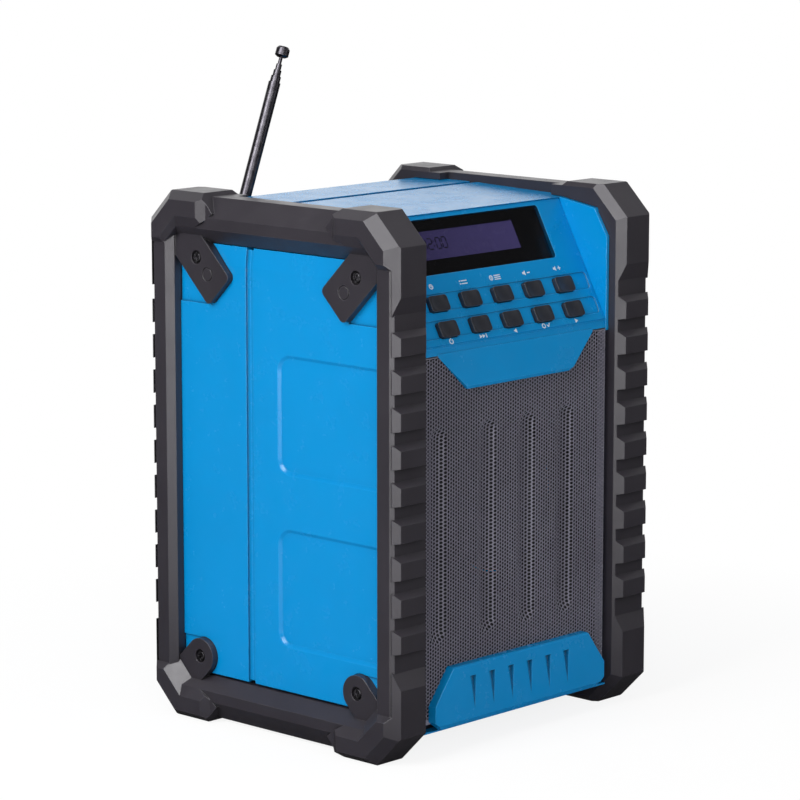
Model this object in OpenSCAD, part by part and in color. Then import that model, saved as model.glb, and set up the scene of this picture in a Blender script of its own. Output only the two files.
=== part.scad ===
// Jobsite radio: a blue cabinet in two halves between two roll-cage guards,
// with a sloping key panel, a fluted speaker grille and a telescopic antenna.
// X runs to the right, Y to the back and Z up. Inside the modules, y is
// counted from the front plane of the guards, and placed() centres it.

/* [Overall] */
// Width across the corner pads of the guards
overall_w = 145.2; // [140:0.2:165]
// Height over the guards
overall_h = 200; // [196:0.5:230]
// Depth over the guards
overall_d = 127.6; // [124:0.2:150]

/* [Guards] */
// Width of the front bars, seen from the front
bar_w = 18.3; // [16:0.1:19]
// Depth of the front bars, up to the side panel
bar_depth = 11.6; // [10:0.1:12.5]
// Height of the corner pads over the side of the bars
pad_bulge = 2.1; // [1:0.1:3]
// Height of the pads over the top bars
pad_rise = 1.5; // [0.8:0.1:2]
// Height of the ribs over the groove floor
rib_height = 2.2; // [1.2:0.1:3]
// Distance from rib to rib
rib_pitch = 13.4; // [11:0.1:18]
// Height of the flat front of a rib
rib_flat = 6.4; // [4:0.1:8]
// Cut of the eight outer corners, along each edge
corner_cut = 11.6; // [8:0.1:13]
// Length of the pads down the front bars
pad_front_len = 29.3; // [26:0.1:34]
// Length of the pads along the top bars
pad_top_len = 28.3; // [26:0.1:32]
// Side panel behind the outer face of the bars
side_inset = 5.8; // [4.5:0.1:7]
// Thickness of the screw tabs
tab_t = 3.4; // [2.6:0.1:4]
// Width of the screw tabs
tab_w = 15.8; // [13:0.1:18]

/* [Cabinet] */
// Wall of the cabinet
wall = 2.4; // [1.8:0.1:3]
// Cabinet front behind the front plane of the guards
front_inset = 6; // [4.5:0.1:7]
// Cabinet top below the top of the guards
top_drop = 4.3; // [3:0.1:6]
// Cabinet floor above the feet of the guards
floor_h = 8.5; // [7:0.1:10]
// Seam between the halves, from the front of the guards
seam_y = 79.5; // [74:0.5:84]
// Depth of the ledge behind the top, where the antenna stands
ledge_depth = 15.6; // [14:0.1:18]
// Drop of that ledge below the cabinet top
ledge_drop = 14.2; // [13:0.1:18]
// Clearance between the cabinet and the guards
case_gap = 0.2; // [0.1:0.05:0.4]

/* [Key panel] */
// Lean of the key panel from upright
panel_lean = 28.18; // [24:0.1:32]
// Foot of the panel's slope below the top of the guards
panel_drop = 49.68; // [48:0.1:52]
// Length of the slope
panel_len = 49.3; // [48.5:0.1:50.5]
// Thickness of the panel
panel_t = 2.5; // [2:0.1:3]
// Columns of keys
key_columns = 5; // [3:1:5]
// Distance from the panel's side to the middle of an outer key
key_side = 15.7; // [12:0.1:18]
// Width of a key
key_w = 9.5; // [8:0.1:11]
// Height of a key
key_h = 6; // [5:0.1:7]
// How far a key stands out of the panel
key_proud = 1.3; // [0.8:0.1:1.8]
// Travel of a key
key_travel = 0.8; // [0.4:0.1:1]
// Clearance round a key
key_gap = 0.2; // [0.12:0.02:0.35]
// Width of the display lens
lens_w = 73.2; // [66:0.1:84]
// Height of the display lens
lens_h = 21.2; // [19:0.1:21.8]
// Thickness of the display lens
lens_t = 1.5; // [1:0.1:1.8]

/* [Grille and trim] */
// Thickness of the grille's sheet steel
sheet_t = 0.8; // [0.5:0.1:1.2]
// Width of a flute at the face of the grille
flute_w = 9; // [6:0.1:12]
// Depth of a flute
flute_depth = 2.2; // [1.2:0.1:2.6]
// Distance between the three flutes on the right
flute_pitch = 21.6; // [16:0.2:22]
// Distance from the left flute to the next one
flute_left_pitch = 26.8; // [20:0.2:27]
// Height of the bottom trim's upper edge above the feet
trim_top = 32; // [29:0.5:36]
// Distance from slot to slot in the trim
slot_pitch = 10.4; // [9:0.1:11]
// Width of a slot at its top
slot_w = 3; // [2:0.1:4]
// Length of a slot
slot_len = 13; // [10:0.5:14]

/* [Loudspeaker] */
// Diameter of the loudspeaker's flange
speaker_d = 84; // [78:0.5:88]
// Height of the loudspeaker's centre above the feet
speaker_z = 88; // [84:0.5:94]
// Diameter of the magnet
magnet_d = 50; // [40:0.5:56]
// Travel of the cone each way
cone_travel = 1.5; // [0.5:0.1:2]

/* [Antenna] */
// Outer diameter of the thickest antenna tube
mast_d = 4.6; // [4.2:0.05:5]
// Length of the thickest tube
mast_len = 50.3; // [44:0.1:54]
// Wall of the antenna tubes
tube_wall = 0.32; // [0.25:0.01:0.36]
// Radial running clearance between the tubes
tube_gap = 0.08; // [0.04:0.01:0.1]
// Length that each section stands out of the one before it
section_step = 2.4; // [1.5:0.1:4]
// Lean of the antenna towards the right side at rest
mast_lean = 20.9; // [0:0.1:40]
// Place of the antenna's pivot, left of the middle
pivot_x = -37; // [-40:0.5:-30]

/* [Battery and sockets] */
// Diameter of a battery cell
cell_d = 18.4; // [18:0.1:18.6]
// Length of a battery cell
cell_len = 65; // [60:0.5:66]
// Bore of the round power inlet
inlet_d = 5.5; // [5:0.1:6]
// Bore of the sound socket
aux_d = 3.5; // [3.3:0.05:3.8]

/* [Hidden] */
$fn = 48;
eps = 0.01;

// Half widths, from the outside inwards
pad_x = overall_w / 2;
bar_x = pad_x - pad_bulge;
side_x = bar_x - side_inset;
face_x = bar_x - bar_w;
cheek_x = face_x - case_gap;
shoulder_x = face_x + 5.1;

// Levels and depths of the cabinet
case_top = overall_h - top_drop;
shoulder_z = overall_h - 19;
case_back = overall_d - front_inset;
ledge_y = case_back - ledge_depth;
ledge_z = case_top - ledge_drop;

// The recess of the key panel, between two thin cheeks
cheek_t = 1.5;
panel_gap = 0.2;
recess_x = cheek_x - cheek_t;
panel_x = recess_x - panel_gap;
key_pitch = 2 * (panel_x - key_side) / (key_columns - 1);
panel_y = front_inset + 0.46;
panel_z = overall_h - panel_drop;
band_z = panel_z - 3.6;
board_n = 9.7;
board_t = 1.6;
switch_h = 3.5;

// The baffle behind the grille, and the frame that carries it
baffle_y = front_inset + flute_depth + sheet_t + 0.4;
baffle_t = 2.5;
baffle_top = band_z + 0.9;
baffle_gap = 0.2;
frame_t = 2.4;
speaker_y = baffle_y + baffle_t;

plastic_blue = "#0F86CC";
rubber_grey = "#3E3A3E";
black = "#141416";
steel = "#B9BBBF";

// ---------- helpers ----------

// Moves the cabinet's middle to Y = 0
module placed() {
  translate([0, -overall_d / 2, 0]) children();
}

// Extrudes a YZ outline along X, an XZ outline along Y, an XY outline along Z
module along_x(x0, x1) {
  translate([x0, 0, 0]) rotate([90, 0, 90]) linear_extrude(x1 - x0) children();
}
module along_y(y0, y1) {
  translate([0, y1, 0]) rotate([90, 0, 0]) linear_extrude(y1 - y0) children();
}
module along_z(z0, z1) {
  translate([0, 0, z0]) linear_extrude(z1 - z0) children();
}

// A cylinder with its axis along Y
module rod_y(r, y0, y1) {
  translate([0, y1, 0]) rotate([90, 0, 0]) cylinder(r = r, h = y1 - y0);
}
// A cylinder with its axis along X
module rod_x(r, x0, x1) {
  translate([x0, 0, 0]) rotate([0, 90, 0]) cylinder(r = r, h = x1 - x0);
}
// A solid of revolution about Y; its outline is [radius, y]
module turned_y() {
  rotate([-90, 0, 0]) rotate_extrude() children();
}

// The outline of a rectangle with rounded corners, about its middle
function round_rect(w, h, r, steps = 4) = [
  for (c = [0:3], i = [0:steps])
    let (a = 90 * c + 90 * i / steps,
         cx = (c == 0 || c == 3 ? 1 : -1) * (w / 2 - r),
         cy = (c < 2 ? 1 : -1) * (h / 2 - r))
    [cx + r * cos(a), cy + r * sin(a)]];

// Adds the mirrored points of a half outline, so that it closes on itself
function mirrored_x(half) = concat(half,
  [for (i = [len(half) - 1:-1:0]) [-half[i][0], half[i][1]]]);

module both_sides() {
  children();
  mirror([1, 0, 0]) children();
}
// Repeats a thing of the front at the back
module front_and_back() {
  children();
  translate([0, overall_d, 0]) mirror([0, 1, 0]) children();
}
// Repeats a thing of the top at the bottom
module top_and_bottom() {
  children();
  translate([0, 0, overall_h]) mirror([0, 0, 1]) children();
}

// The frame of the key panel: x to the right, y up the slope, z outwards
module on_panel() {
  translate([0, panel_y, panel_z]) rotate([90 - panel_lean, 0, 0]) children();
}
module panel_slab(w, s0, s1, n0, n1) {
  translate([-w / 2, s0, n0]) cube([w, s1 - s0, n1 - n0]);
}

// A pan-head screw with a cross recess: head up, shank down, at z = 0
module screw(head_d, head_h, shank_d, shank_len) {
  difference() {
    union() {
      cylinder(d1 = head_d, d2 = head_d * 0.72, h = head_h);
      translate([0, 0, -shank_len]) cylinder(d = shank_d, h = shank_len + eps);
    }
    for (a = [0, 90])
      rotate(a) translate([0, 0, head_h]) cube([head_d * 0.56, head_d * 0.15, head_h * 1.2], center = true);
  }
}

// ---------- cabinet ----------

// The outer form of the closed cabinet, grown by g
module case_form(g) {
  intersection() {
    along_z(-10, overall_h + 10) offset(delta = g) polygon(mirrored_x([
      [cheek_x, front_inset], [cheek_x, bar_depth], [side_x, bar_depth],
      [side_x, overall_d - bar_depth], [cheek_x, overall_d - bar_depth], [cheek_x, case_back]]));
    along_y(-10, overall_d + 10) offset(delta = g) polygon(mirrored_x([
      [shoulder_x, floor_h], [shoulder_x, 18], [side_x, 18], [side_x, shoulder_z - 7.2],
      [side_x - 0.7, shoulder_z], [shoulder_x, shoulder_z], [shoulder_x, case_top]]));
    along_x(-pad_x, pad_x) offset(delta = g) polygon([
      [front_inset, floor_h], [front_inset, case_top - 14.5],
      [front_inset + 6.2, case_top - 4.4], [front_inset + 23.9, case_top - 1.5],
      [seam_y, case_top], [ledge_y, case_top], [ledge_y, ledge_z],
      [case_back, ledge_z], [case_back, floor_h]]);
  }
}

// The space inside the walls
module case_inside() {
  case_form(-wall);
}

// The shallow groove that runs round the cabinet at its seam
module seam_groove() {
  difference() {
    translate([-pad_x, seam_y - 1.9, 0]) cube([2 * pad_x, 3.65, overall_h]);
    case_form(-0.8);
  }
}

// The four places of the screws that hold the halves together, as [x, z]
case_screw_x = recess_x - 5;
case_screw_low = floor_h + 9.5;
case_screw_high = ledge_z - 11;
boss_r = 4;
module at_case_screws() {
  for (x = [-case_screw_x, case_screw_x], z = [case_screw_low, case_screw_high])
    translate([x, 0, z]) children();
}

// The corners where the guards' tabs lie: u runs inwards at 45 degrees
screw_u = 33.4;
tab_v = -1;
tab_root_u = 16;
tab_end_u = 50.2;
low_tab_r = 6.8;
pocket_depth = 0.8;
pocket_drop = 41.7;
low_pocket_top = 31;
tab_gap = 0.2;
pocket_x = side_x - pocket_depth;
tab_x = pocket_x + tab_t;
guard_screw_len = 9;
screw_y = (screw_u + tab_v) * sqrt(0.5);
screw_drop = (screw_u - tab_v) * sqrt(0.5);
module at_corner_2d() {
  translate([0, overall_h]) rotate(-45) children();
}
module at_guard_screws() {
  front_and_back() top_and_bottom() translate([0, screw_y, overall_h - screw_drop]) children();
}
module upper_tab_outline(grow) {
  at_corner_2d() translate([(tab_root_u + tab_end_u) / 2, tab_v])
    polygon(round_rect(tab_end_u - tab_root_u + 2 * grow, tab_w + 2 * grow, 2 + grow));
}
// The lower tabs end in a round; this outline is drawn at the top as well
module lower_tab_outline(grow) {
  at_corner_2d() {
    translate([screw_u, tab_v]) circle(r = low_tab_r + grow);
    translate([tab_root_u, tab_v - low_tab_r - grow]) square([screw_u - tab_root_u, 2 * (low_tab_r + grow)]);
  }
}

// A shallow rounded dish with sloping walls, cut into the face x = 0
module dish(w, h, r, depth, slope) {
  over = 1;
  rise = slope * over / depth;
  for (y = [-1, 1], z = [-1, 1]) translate([-depth, y * (w / 2 - r), z * (h / 2 - r)])
    rotate([0, 90, 0]) cylinder(r1 = r - slope, r2 = r + rise, h = depth + over);
  along_z(r - h / 2, h / 2 - r) polygon([
    [-depth, slope - w / 2], [-depth, w / 2 - slope], [over, w / 2 + rise], [over, -w / 2 - rise]]);
  along_y(r - w / 2, w / 2 - r) polygon([
    [-depth, slope - h / 2], [-depth, h / 2 - slope], [over, h / 2 + rise], [over, -h / 2 - rise]]);
}

// Pockets under the tabs, and the two shallow dished panels between them
dish_y = 34.5;
dish_w = 61.2;
dish_h = 44.4;
dish_r = 6.2;
dish_z = [121.4, 56.85];
module side_relief() {
  front_and_back() {
    along_x(pocket_x, side_x + 1) {
      upper_tab_outline(tab_gap);
      polygon([
        [0, overall_h], [0, overall_h - pocket_drop], [pocket_drop - 12.8, overall_h - pocket_drop],
        [20, overall_h - 20]]);
    }
    translate([0, 0, overall_h]) mirror([0, 0, 1]) along_x(pocket_x, side_x + 1) {
      lower_tab_outline(tab_gap);
      polygon([
        [0, overall_h], [0, overall_h - low_pocket_top], [screw_y, overall_h - low_pocket_top],
        [screw_y, overall_h - screw_drop], [12, overall_h - 12]]);
    }
  }
  for (z = dish_z) translate([side_x, dish_y, z - 100 + overall_h / 2])
    dish(dish_w, dish_h, dish_r, 0.9, 1.3);
}

module guard_screw_bosses() {
  at_guard_screws() rod_x(3.2, pocket_x - guard_screw_len, pocket_x);
}
module guard_screw_bores() {
  at_guard_screws() rod_x(1.3, pocket_x - guard_screw_len + 1, side_x + 2);
}

// The walls that the key panel sits between and on
module cheek_walls() {
  both_sides() intersection() {
    translate([recess_x, 0, 0]) cube([wall, seam_y, overall_h]);
    on_panel() panel_slab(overall_w, -14, 90, -panel_t - 2.2, 60);
  }
  difference() {
    on_panel() panel_slab(2 * side_x, -9, 60, -panel_t - 2.2, -panel_t);
    on_panel() panel_slab(2 * recess_x - 8, 1, panel_len - 1.6, -20, 1);
  }
}

// The frame behind the baffle's edges
module baffle_frame() {
  open_x = speaker_d / 2 + 2.5;
  difference() {
    translate([-side_x, speaker_y, 0]) cube([2 * side_x, frame_t, band_z - 3]);
    translate([-open_x, 0, speaker_z - open_x]) cube([2 * open_x, 40, 2 * open_x]);
  }
}

// Webs that tie the screw pillars to the side walls
module front_pillars() {
  at_case_screws() rod_y(boss_r, seam_y - 24, seam_y + eps);
  both_sides() for (z = [case_screw_low, case_screw_high])
    translate([case_screw_x + 2, seam_y - 24, z - 1]) cube([side_x - case_screw_x - 3, 24, 2]);
}

module front_case() {
  placed() color(plastic_blue) difference() {
    intersection() {
      case_form(0);
      cube([4 * pad_x, 2 * seam_y, 3 * overall_h], center = true);
    }
    difference() {
      case_inside();
      cheek_walls();
      baffle_frame();
      front_pillars();
      both_sides() guard_screw_bosses();
    }
    // the recess of the key panel, and of the grille and the trim below it
    on_panel() panel_slab(2 * recess_x, -0.6, panel_len + 0.15, -panel_t, 40);
    translate([-recess_x, -1, floor_h + 0.6]) cube([2 * recess_x, baffle_y + 1, band_z - floor_h + 2.4]);
    translate([-recess_x, -1, floor_h + 0.6]) cube([2 * recess_x, speaker_y + 1, baffle_top + baffle_gap - floor_h - 0.6]);
    // the cheeks stand back beside the grille
    translate([-shoulder_x, -1, floor_h + 0.6]) cube([2 * shoulder_x, baffle_y + 0.5, band_z - floor_h - 1.6]);
    both_sides() {
      side_relief();
      guard_screw_bores();
    }
    seam_groove();
    at_case_screws() rod_y(1.3, seam_y - 22, seam_y + 5);
  }
}

// The places of the loudspeaker's screws, about its axis
module at_speaker_screws() {
  for (a = [45:90:315]) rotate([0, a, 0]) translate([speaker_d / 2 - 3.2, 0, 0]) children();
}

// The board that carries the loudspeaker, black behind the open grille
module speaker_baffle() {
  placed() color(black) difference() {
    translate([baffle_gap - recess_x, baffle_y, floor_h + 0.6 + baffle_gap])
      cube([2 * (recess_x - baffle_gap), baffle_t, baffle_top - floor_h - 0.6 - baffle_gap]);
    translate([0, 0, speaker_z]) {
      rod_y(speaker_d / 2 - 6, 0, 40);
      at_speaker_screws() rod_y(0.95, baffle_y + 0.6, speaker_y + 1);
    }
  }
}

// The battery's bay in the back
contact_t = 0.8;
cell_gap = 0.3;
cell_space = 1;
bay_w = cell_len + 2 * (contact_t + cell_gap);
bay_z = 46;
bay_h = 2 * cell_d + cell_space + 2 * cell_gap;
bay_depth = cell_d + 2 * cell_gap;
cover_t = 2;
bay_y = case_back - cover_t - bay_depth;
cover_x = bay_w / 2 + 5;
cover_w = 2 * cover_x + 9;
cover_h = bay_h + 6;
module battery_bay(grow) {
  translate([-bay_w / 2 - grow, bay_y - grow, bay_z - bay_h / 2 - grow])
    cube([bay_w + 2 * grow, bay_depth + grow + 1, bay_h + 2 * grow]);
}

// The sockets and their hinged cover
jack_x = -20;
jack_z = 112;
jack_pitch = 15;
jack_recess_w = 36;
jack_recess_h = 16;
jack_recess_depth = 4;
hinge_z = jack_z + jack_recess_h / 2 + 0.6;
bead_r = 0.9;
bead_x = jack_recess_w / 2 + 1.2;
main_board_y = case_back - 32;
main_board_w = 2 * recess_x - 9;
main_board_h = 80;
main_board_z = overall_h / 2 + 20;
standoff_r = 3;
module at_standoffs() {
  for (x = [-1, 1], z = [-1, 1])
    translate([x * (main_board_w / 2 - 6), 0, main_board_z + z * (main_board_h / 2 - 6)]) children();
}

module rear_inner_walls() {
  battery_bay(wall);
  both_sides() translate([cover_x + 1, 0, bay_z]) rod_y(3, case_back - 10, case_back);
  at_case_screws() rod_y(boss_r + 1.4, seam_y, case_back);
  at_standoffs() rod_y(standoff_r, main_board_y + board_t, case_back);
  translate([jack_x - jack_recess_w / 2 - 2, case_back - jack_recess_depth - 2, jack_z - jack_recess_h / 2 - 2])
    cube([jack_recess_w + 4, jack_recess_depth + 2, jack_recess_h + 4.6]);
  both_sides() guard_screw_bosses();
  // the block that the antenna's base is screwed into
  translate([pivot_x, 0, pivot_z]) rod_y(4.6, ledge_y - 7, ledge_y);
}

module rear_case() {
  placed() color(plastic_blue) difference() {
    intersection() {
      case_form(0);
      translate([-pad_x, seam_y, 0]) cube([2 * pad_x, overall_d, overall_h]);
    }
    difference() {
      case_inside();
      rear_inner_walls();
    }
    both_sides() {
      side_relief();
      guard_screw_bores();
    }
    seam_groove();
    at_case_screws() {
      rod_y(1.7, seam_y - 1, case_back);
      rod_y(3.6, seam_y + 12, case_back + 1);
    }
    battery_bay(0);
    // the seat of the battery's cover and the bores of its screws
    translate([0, case_back + 1, bay_z]) rotate([90, 0, 0])
      linear_extrude(cover_t + 1) polygon(round_rect(cover_w, cover_h, 3));
    both_sides() translate([cover_x + 1, 0, bay_z]) rod_y(1, case_back - 9, case_back);
    // the sockets' recess and their two bores
    translate([jack_x - jack_recess_w / 2, case_back - jack_recess_depth, jack_z - jack_recess_h / 2])
      cube([jack_recess_w, jack_recess_depth + 1, jack_recess_h + 2.6]);
    translate([jack_x - jack_pitch / 2, 0, jack_z]) rod_y(4.6, case_back - 12, case_back);
    translate([jack_x + jack_pitch / 2, 0, jack_z]) rod_y(3.3, case_back - 12, case_back);
    // the two sockets of the cover's hinge bead
    translate([0, case_back - 1.1, hinge_z]) rod_x(bead_r + 0.06, jack_x - bead_x - 0.3, jack_x + bead_x + 0.3);
    at_standoffs() rod_y(1, main_board_y, main_board_y + 9);
    translate([pivot_x, 0, pivot_z]) rod_y(2.4, ledge_y - 6, ledge_y + 1);
  }
}

// ---------- key panel ----------

module key_outline(grow) {
  polygon(round_rect(key_w + 2 * grow, key_h + 2 * grow, 1.2 + grow));
}
key_rows = [15.2, 5.2];
function key_x(k) = (k % key_columns - (key_columns - 1) / 2) * key_pitch;
function key_s(k) = key_rows[floor(k / key_columns)];
key_total = 2 * key_columns;
lens_s = 37;
lens_gap = 0.15;
lcd_w = 58;
lcd_h = 15;
lcd_view_w = 55;
lcd_view_h = 11.2;
lcd_x = -5.5;
lcd_s = 38;

// The posts behind the panel that carry the key board
post_x = recess_x - 7.5;
module at_panel_posts() {
  for (x = [-post_x, post_x], s = [10.2, 30]) translate([x, s, 0]) children();
}

// The bare shield that juts out under the keys
shield_top = 42.65;
shield_foot = 28;
shield_drop = 13.6;
module shield() {
  intersection() {
    along_y(0, baffle_y - 0.3) polygon(mirrored_x([
      [shield_foot, band_z - shield_drop], [shield_top, band_z - 0.5], [shield_top, band_z + 0.5]]));
    along_x(-60, 60) polygon([
      [front_inset - 0.1, band_z + 0.5], [front_inset - 2.2, band_z - shield_drop + 1.4],
      [front_inset - 1.2, band_z - shield_drop], [front_inset, band_z - shield_drop],
      [front_inset, band_z + 0.5]]);
  }
}

module control_panel() {
  placed() color(plastic_blue) difference() {
    union() {
      on_panel() panel_slab(2 * panel_x, 0, panel_len, -panel_t, 0);
      // the band that rounds over from the slope to the grille
      along_x(-panel_x, panel_x) polygon([
        [panel_y, panel_z], [panel_y + 0.25, panel_z - 1.1], [front_inset - 0.1, band_z],
        [baffle_y - 0.3, band_z], [baffle_y - 0.3, band_z + 2.7], [panel_y + 2, panel_z - 0.9]]);
      shield();
      on_panel() at_panel_posts() translate([0, 0, -board_n])
        cylinder(r = 2, h = board_n - panel_t + eps);
    }
    // two shallow steps, one for each row of keys
    on_panel() {
      for (s = key_rows) translate([0, s + 0.6, -0.35]) linear_extrude(2)
        polygon(round_rect(2 * panel_x - 2.6, 6.8, 1.5));
      for (k = [0:key_total - 1]) translate([key_x(k), key_s(k), -8]) linear_extrude(12)
        key_outline(key_gap);
      translate([0, lens_s, -lens_t - 0.4]) linear_extrude(4)
        polygon(round_rect(lens_w + 2 * lens_gap, lens_h + 2 * lens_gap, 1.4));
      translate([lcd_x, lcd_s, -9]) linear_extrude(12)
        polygon(round_rect(lcd_w + 0.6, lcd_h + 0.6, 0.6));
      at_panel_posts() translate([0, 0, -board_n - 1]) cylinder(r = 0.85, h = 6);
    }
  }
}

// Keys are numbered from the upper left: a cap, a flange behind and a plunger
module button(k) {
  placed() color("#2A2A2E") on_panel() translate([key_x(k), key_s(k), 0]) {
    difference() {
      translate([0, 0, -panel_t - 0.3]) linear_extrude(panel_t + 0.3 + key_proud) key_outline(0);
      // a shallow finger dish
      translate([0, 0, key_proud + 17.6]) sphere(r = 18, $fn = 64);
    }
    translate([0, 0, -panel_t - 1.5]) linear_extrude(1.2) key_outline(0.9);
    translate([0, 0, -board_n + switch_h + 0.3 + key_travel])
      cylinder(r = 1.5, h = board_n - switch_h - 0.3 - key_travel - panel_t - 1.5 + eps);
  }
}

module display_lens() {
  placed() color(black) on_panel() translate([0, lens_s, -lens_t])
    linear_extrude(lens_t) polygon(round_rect(lens_w, lens_h, 1.2));
}

// The black print behind the lens, with the window of the display
module lens_mask() {
  placed() color(black) on_panel() translate([0, lens_s, -lens_t - 0.4]) difference() {
    linear_extrude(0.4) polygon(round_rect(lens_w, lens_h, 1.2));
    translate([lcd_x, lcd_s - lens_s, -1]) linear_extrude(3)
      polygon(round_rect(lcd_view_w, lcd_view_h, 0.4));
  }
}

module lcd_module() {
  placed() color("#5A5480") on_panel() {
    translate([lcd_x, lcd_s, -lens_t - 0.4 - 2.2]) linear_extrude(2.2)
      polygon(round_rect(lcd_w, lcd_h, 0.4));
    translate([lcd_x, lcd_s, -board_n]) linear_extrude(board_n - lens_t - 0.4 - 2.2)
      polygon(round_rect(lcd_w - 3, lcd_h - 3, 0.4));
  }
}

module button_board() {
  placed() color("#1D5A34") on_panel() difference() {
    translate([0, 23, -board_n - board_t]) linear_extrude(board_t)
      polygon(round_rect(2 * recess_x - 10, panel_len - 4, 1.5));
    at_panel_posts() translate([0, 0, -20]) cylinder(r = 1.15, h = 20);
  }
}

module board_screws() {
  placed() color(steel) {
    on_panel() at_panel_posts() translate([0, 0, -board_n - board_t])
      mirror([0, 0, 1]) screw(3.6, 1.4, 1.6, 5.5);
    at_standoffs() translate([0, main_board_y, 0]) rotate([90, 0, 0]) screw(4, 1.5, 1.9, 7);
  }
}

module tact_switches() {
  placed() color("#3A3A3E") on_panel() for (k = [0:key_total - 1])
    translate([key_x(k), key_s(k), -board_n]) {
      linear_extrude(switch_h - 0.7) polygon(round_rect(6, 6, 0.4));
      cylinder(r = 1.6, h = switch_h);
    }
}

// ---------- grille and trim ----------

grille_z0 = floor_h + 3.5;
grille_z1 = band_z - 0.3;
flute_z0 = 46;
flute_z1 = grille_z1 - 30.4;
flute_mid_x = 5.6;
flute_r = (flute_w * flute_w / 4 + flute_depth * flute_depth) / (2 * flute_depth);
flute_x = [
  flute_mid_x - flute_pitch - flute_left_pitch, flute_mid_x - flute_pitch,
  flute_mid_x, flute_mid_x + flute_pitch];

// One flute: a round channel that runs out softly at both ends
module flute(r) {
  translate([0, front_inset + flute_depth - flute_r, 0]) {
    translate([0, 0, flute_z0]) cylinder(r = r, h = flute_z1 - flute_z0, $fn = 48);
    translate([0, 0, flute_z0]) sphere(r = r, $fn = 48);
    translate([0, 0, flute_z1]) sphere(r = r, $fn = 48);
  }
}

module speaker_grille() {
  placed() color("#5A5862") difference() {
    union() {
      translate([-panel_x, front_inset, grille_z0]) cube([2 * panel_x, sheet_t, grille_z1 - grille_z0]);
      intersection() {
        for (x = flute_x) translate([x, 0, 0]) flute(flute_r + sheet_t);
        translate([-panel_x, front_inset, grille_z0]) cube([2 * panel_x, 10, grille_z1 - grille_z0]);
      }
      // the folded rim that stands on the baffle
      difference() {
        translate([-panel_x, front_inset, grille_z0]) cube([2 * panel_x, baffle_y - front_inset, grille_z1 - grille_z0]);
        translate([-panel_x + sheet_t, 0, grille_z0 + sheet_t])
          cube([2 * (panel_x - sheet_t), 40, grille_z1 - grille_z0 - 2 * sheet_t]);
      }
    }
    for (x = flute_x) translate([x, 0, 0]) flute(flute_r);
  }
}

slot_count = 6;
slot_depth = 1.6;
slot_top = trim_top - 4.6;
trim_front = 2.4;
trim_x = 47.3;
module bottom_trim() {
  placed() color(plastic_blue) difference() {
    intersection() {
      along_y(0, front_inset) polygon(mirrored_x([
        [42.5, floor_h + 0.8], [trim_x, floor_h + 4.5], [trim_x, trim_top - 13], [37.5, trim_top]]));
      along_x(-60, 60) polygon([
        [front_inset, trim_top], [trim_front + 0.5, trim_top], [trim_front, trim_top - 0.5],
        [trim_front, floor_h + 3], [trim_front + 1.6, floor_h + 0.8], [front_inset, floor_h + 0.8]]);
    }
    // flutes that run down to a point: one wall flat, one steep, deepest at the top
    for (i = [0:slot_count - 1])
      translate([(i - (slot_count - 1) / 2) * slot_pitch, trim_front, slot_top]) intersection() {
        translate([0, slot_depth, 0]) rotate([-atan(slot_depth / slot_len), 0, 0])
          along_z(-2 * slot_len, slot_len) polygon([
            [0, 0], [slot_w * 0.35, -slot_depth * 2], [-slot_w * 2, -slot_depth * 2]]);
        translate([-slot_w * 3, -5, -slot_len - 5]) cube([slot_w * 6, 10, slot_len + 5]);
      }
  }
}

// ---------- guards ----------

inner_chamfer = 3;
edge_chamfer = 4.4;
window_y = bar_depth + 0.3;
window_z = 18.5;

// A closed bar form round the side: insets at front and top, outer face,
// where its outer chamfers start, and the inset of its cut corners
module ring_form(in_y, in_z, x_out, x_front, x_top, top_fall, in_u, u_fall) {
  lead_z = in_z < 1 ? 1.5 : in_z;
  difference() {
    intersection() {
      along_z(0, overall_h) polygon([
        [face_x, inner_chamfer], [face_x + inner_chamfer - in_y, in_y], [x_front, in_y],
        [x_out, in_y + x_out - x_front], [x_out, overall_d - in_y - x_out + x_front],
        [x_front, overall_d - in_y], [face_x + inner_chamfer - in_y, overall_d - in_y],
        [face_x, overall_d - inner_chamfer]]);
      along_y(0, overall_d) polygon([
        [face_x, lead_z], [face_x + lead_z - in_z, in_z], [x_top, in_z], [x_out, in_z + top_fall],
        [x_out, overall_h - in_z - top_fall], [x_top, overall_h - in_z],
        [face_x + lead_z - in_z, overall_h - in_z], [face_x, overall_h - lead_z]]);
    }
    front_and_back() top_and_bottom() corner_wedge([
      [face_x - 1, in_u + inner_chamfer + 1], [face_x + inner_chamfer, in_u],
      [x_out - u_fall, in_u], [x_out + 1, in_u + u_fall + 1], [x_out + 1, -60], [face_x - 1, -60]]);
  }
}

// A wedge along the cut corner; its outline is [x, distance in from the
// corner point of the uncut ring, at 45 degrees]
module corner_wedge(outline) {
  translate([0, 0, overall_h]) rotate([-45, 0, 0])
    linear_extrude(3 * bar_w + 60, center = true) polygon(outline);
}

function wedge_outline(depth) = [
  [face_x - 3, depth], [side_x, depth], [bar_x, 20.3], [bar_x + 2.1, 18.3], [bar_x + 5, 15.4],
  [bar_x + 5, -60], [face_x - 3, -60]];

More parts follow.
